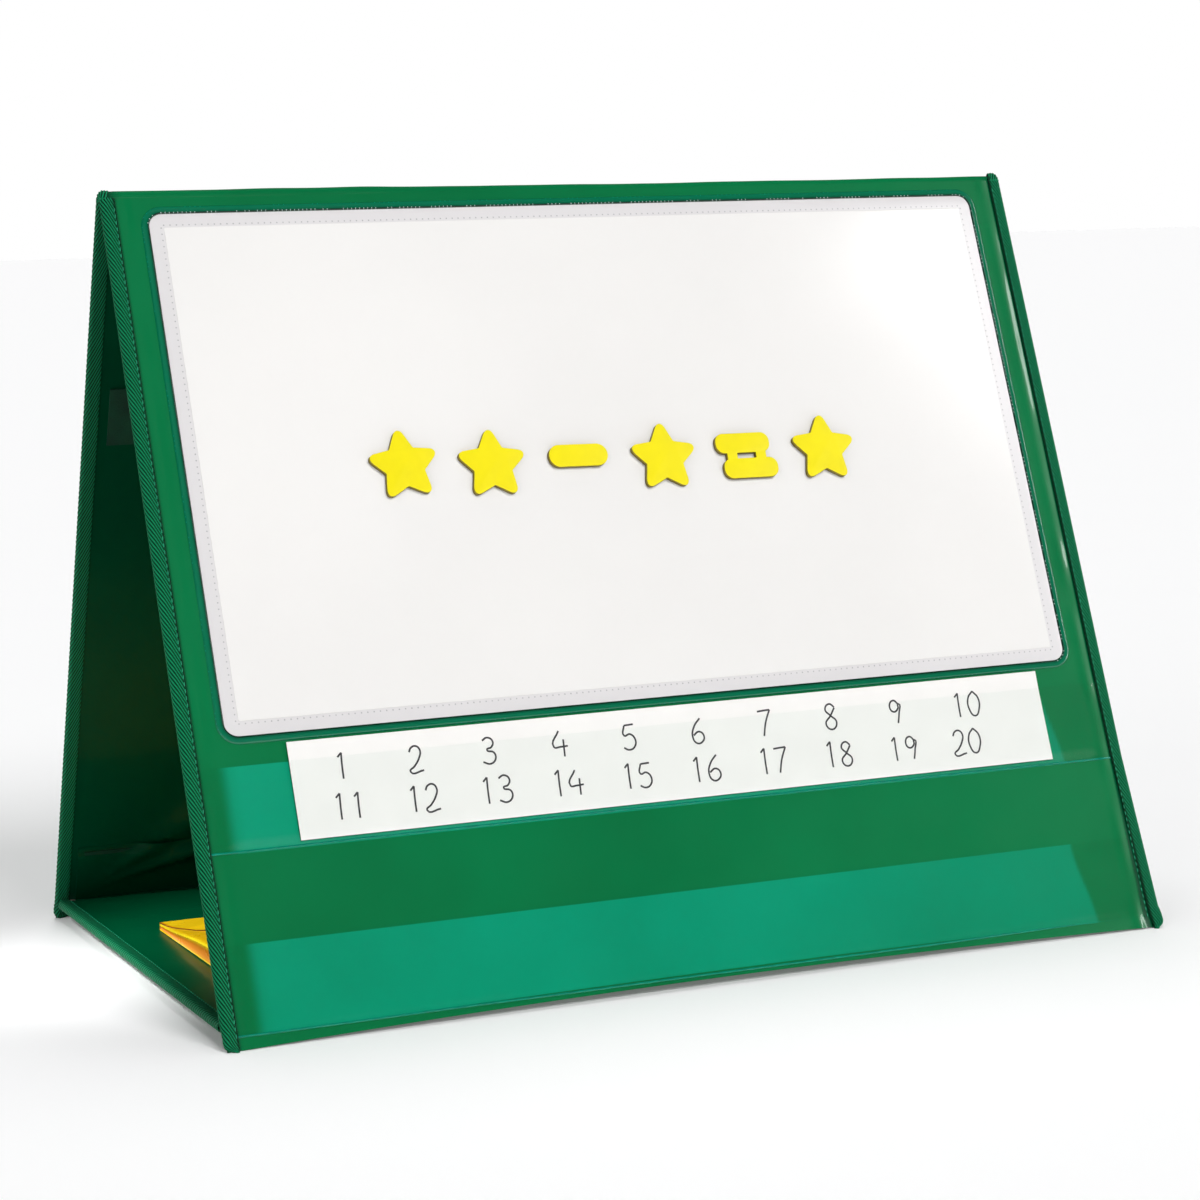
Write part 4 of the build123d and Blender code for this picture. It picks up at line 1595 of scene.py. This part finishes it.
def makeFloor():
    look = sceneLook
    clearSelection()
    bpy.ops.mesh.primitive_plane_add(size=look["floorSize"])
    floor = named("floor")
    material, nodes, links, shader = startMaterial("floorWhite", look["floorColor"], 0.9)
    shader.inputs["Specular IOR Level"].default_value = 0.0
    glow = addNode(nodes, "ShaderNodeEmission", Strength=look["floorLift"])
    both = nodes.new("ShaderNodeAddShader")
    links.new(shader.outputs[0], both.inputs[0])
    links.new(glow.outputs[0], both.inputs[1])
    shown = mixShaders(nodes, links, seenDirectly(nodes, links)[0], shader, both)
    links.new(shown.outputs[0], nodes["Material Output"].inputs["Surface"])
    floor.data.materials.append(material)


def makeWorld():
    look = sceneLook
    world = bpy.data.worlds.new("studio")
    bpy.context.scene.world = world
    world.use_nodes = True
    nodes, links = world.node_tree.nodes, world.node_tree.links
    soft = nodes["Background"]
    soft.inputs["Color"].default_value = (1, 1, 1, 1)
    soft.inputs["Strength"].default_value = look["worldSoft"]
    white = addNode(nodes, "ShaderNodeBackground", Strength=1.0)
    white.inputs["Color"].default_value = (1, 1, 1, 1)
    sky = nodes.new("ShaderNodeBackground")  # what gloss sees: white low down, dimmer above
    height = nodes.new("ShaderNodeSeparateXYZ")
    links.new(nodes.new("ShaderNodeTexCoord").outputs["Generated"], height.inputs[0])
    dim = (look["worldDim"],) * 3
    bright = (1.0, 1.0, 1.0)
    marks = [(0.0, bright), (0.1, bright), (0.3, dim), (1.0, dim)]
    tone = rampOf(nodes, links, height.outputs["Z"], marks)
    links.new(tone, sky.inputs["Color"])
    seen, path = seenDirectly(nodes, links)
    direct = mixShaders(nodes, links, path.outputs["Is Camera Ray"], sky, white)
    shown = mixShaders(nodes, links, seen, soft, direct)
    links.new(shown.outputs[0], nodes["World Output"].inputs["Surface"])


edgeLook = dict(
    place=Vector((1.49, -0.91, 0.78)),
    aim=Vector((0.24, -0.08, 0.2)),
    width=0.12,
    height=1.2,
    power=12.0,
)
insideLook = dict(
    place=Vector((-0.78, -0.12, 0.66)),
    aim=Vector((-0.225, 0.03, 0.02)),
    cone=12,
    softness=0.09,
    power=80.0,
)


def addLamp(kind, name, place, aim):
    clearSelection()
    bpy.ops.object.light_add(type=kind, location=place)
    lamp = bpy.context.object
    lamp.name = name
    lamp.rotation_euler = (place - aim).to_track_quat("Z", "Y").to_euler()
    return lamp


def makeLamps():
    for name, look in lampLook.items():
        lamp = addLamp("SUN", name, Vector(look["toward"]).normalized() * 2, Vector())
        lamp.data.energy = look["strength"]
        lamp.data.angle = math.radians(look["width"])
        lamp.visible_glossy = False
    look = edgeLook  # a narrow strip that only gives highlights along the right edges
    strip = addLamp("AREA", "edgeLamp", look["place"], look["aim"])
    strip.data.shape = "RECTANGLE"
    strip.data.size = look["width"]
    strip.data.size_y = look["height"]
    strip.data.energy = look["power"]
    strip.visible_diffuse = False
    look = insideLook  # reaches in through the open left side
    inner = addLamp("SPOT", "insideLamp", look["place"], look["aim"])
    inner.data.energy = look["power"]
    inner.data.spot_size = math.radians(look["cone"])
    inner.data.spot_blend = 1.0
    inner.data.shadow_soft_size = look["softness"]
    inner.visible_glossy = False


cameraLook = dict(
    place=Vector((-673.149, -1537.133, 389.433)) * mm,
    azimuth=-23.934,
    elevation=7.165,
    roll=-1.343,
    lens=93.474,
)


def makeCamera():
    look = cameraLook
    azimuth, elevation, roll = (math.radians(look[k]) for k in ("azimuth", "elevation", "roll"))
    level = math.cos(elevation)
    back = Vector((math.sin(azimuth) * level, -math.cos(azimuth) * level, math.sin(elevation)))
    right = Vector((math.cos(azimuth), math.sin(azimuth), 0))
    up = back.cross(right)
    rolledRight = right * math.cos(roll) + up * math.sin(roll)
    rolledUp = up * math.cos(roll) - right * math.sin(roll)
    clearSelection()
    bpy.ops.object.camera_add()
    camera = bpy.context.object
    camera.data.lens = look["lens"]
    camera.data.sensor_width = 36
    turn = Matrix((rolledRight, rolledUp, back)).transposed().to_4x4()
    turn.translation = look["place"]
    camera.matrix_world = turn
    bpy.context.scene.camera = camera


makeFloor()
makeWorld()
makeLamps()
makeCamera()
bpy.context.scene.view_settings.view_transform = "Standard"

print("scene ready")
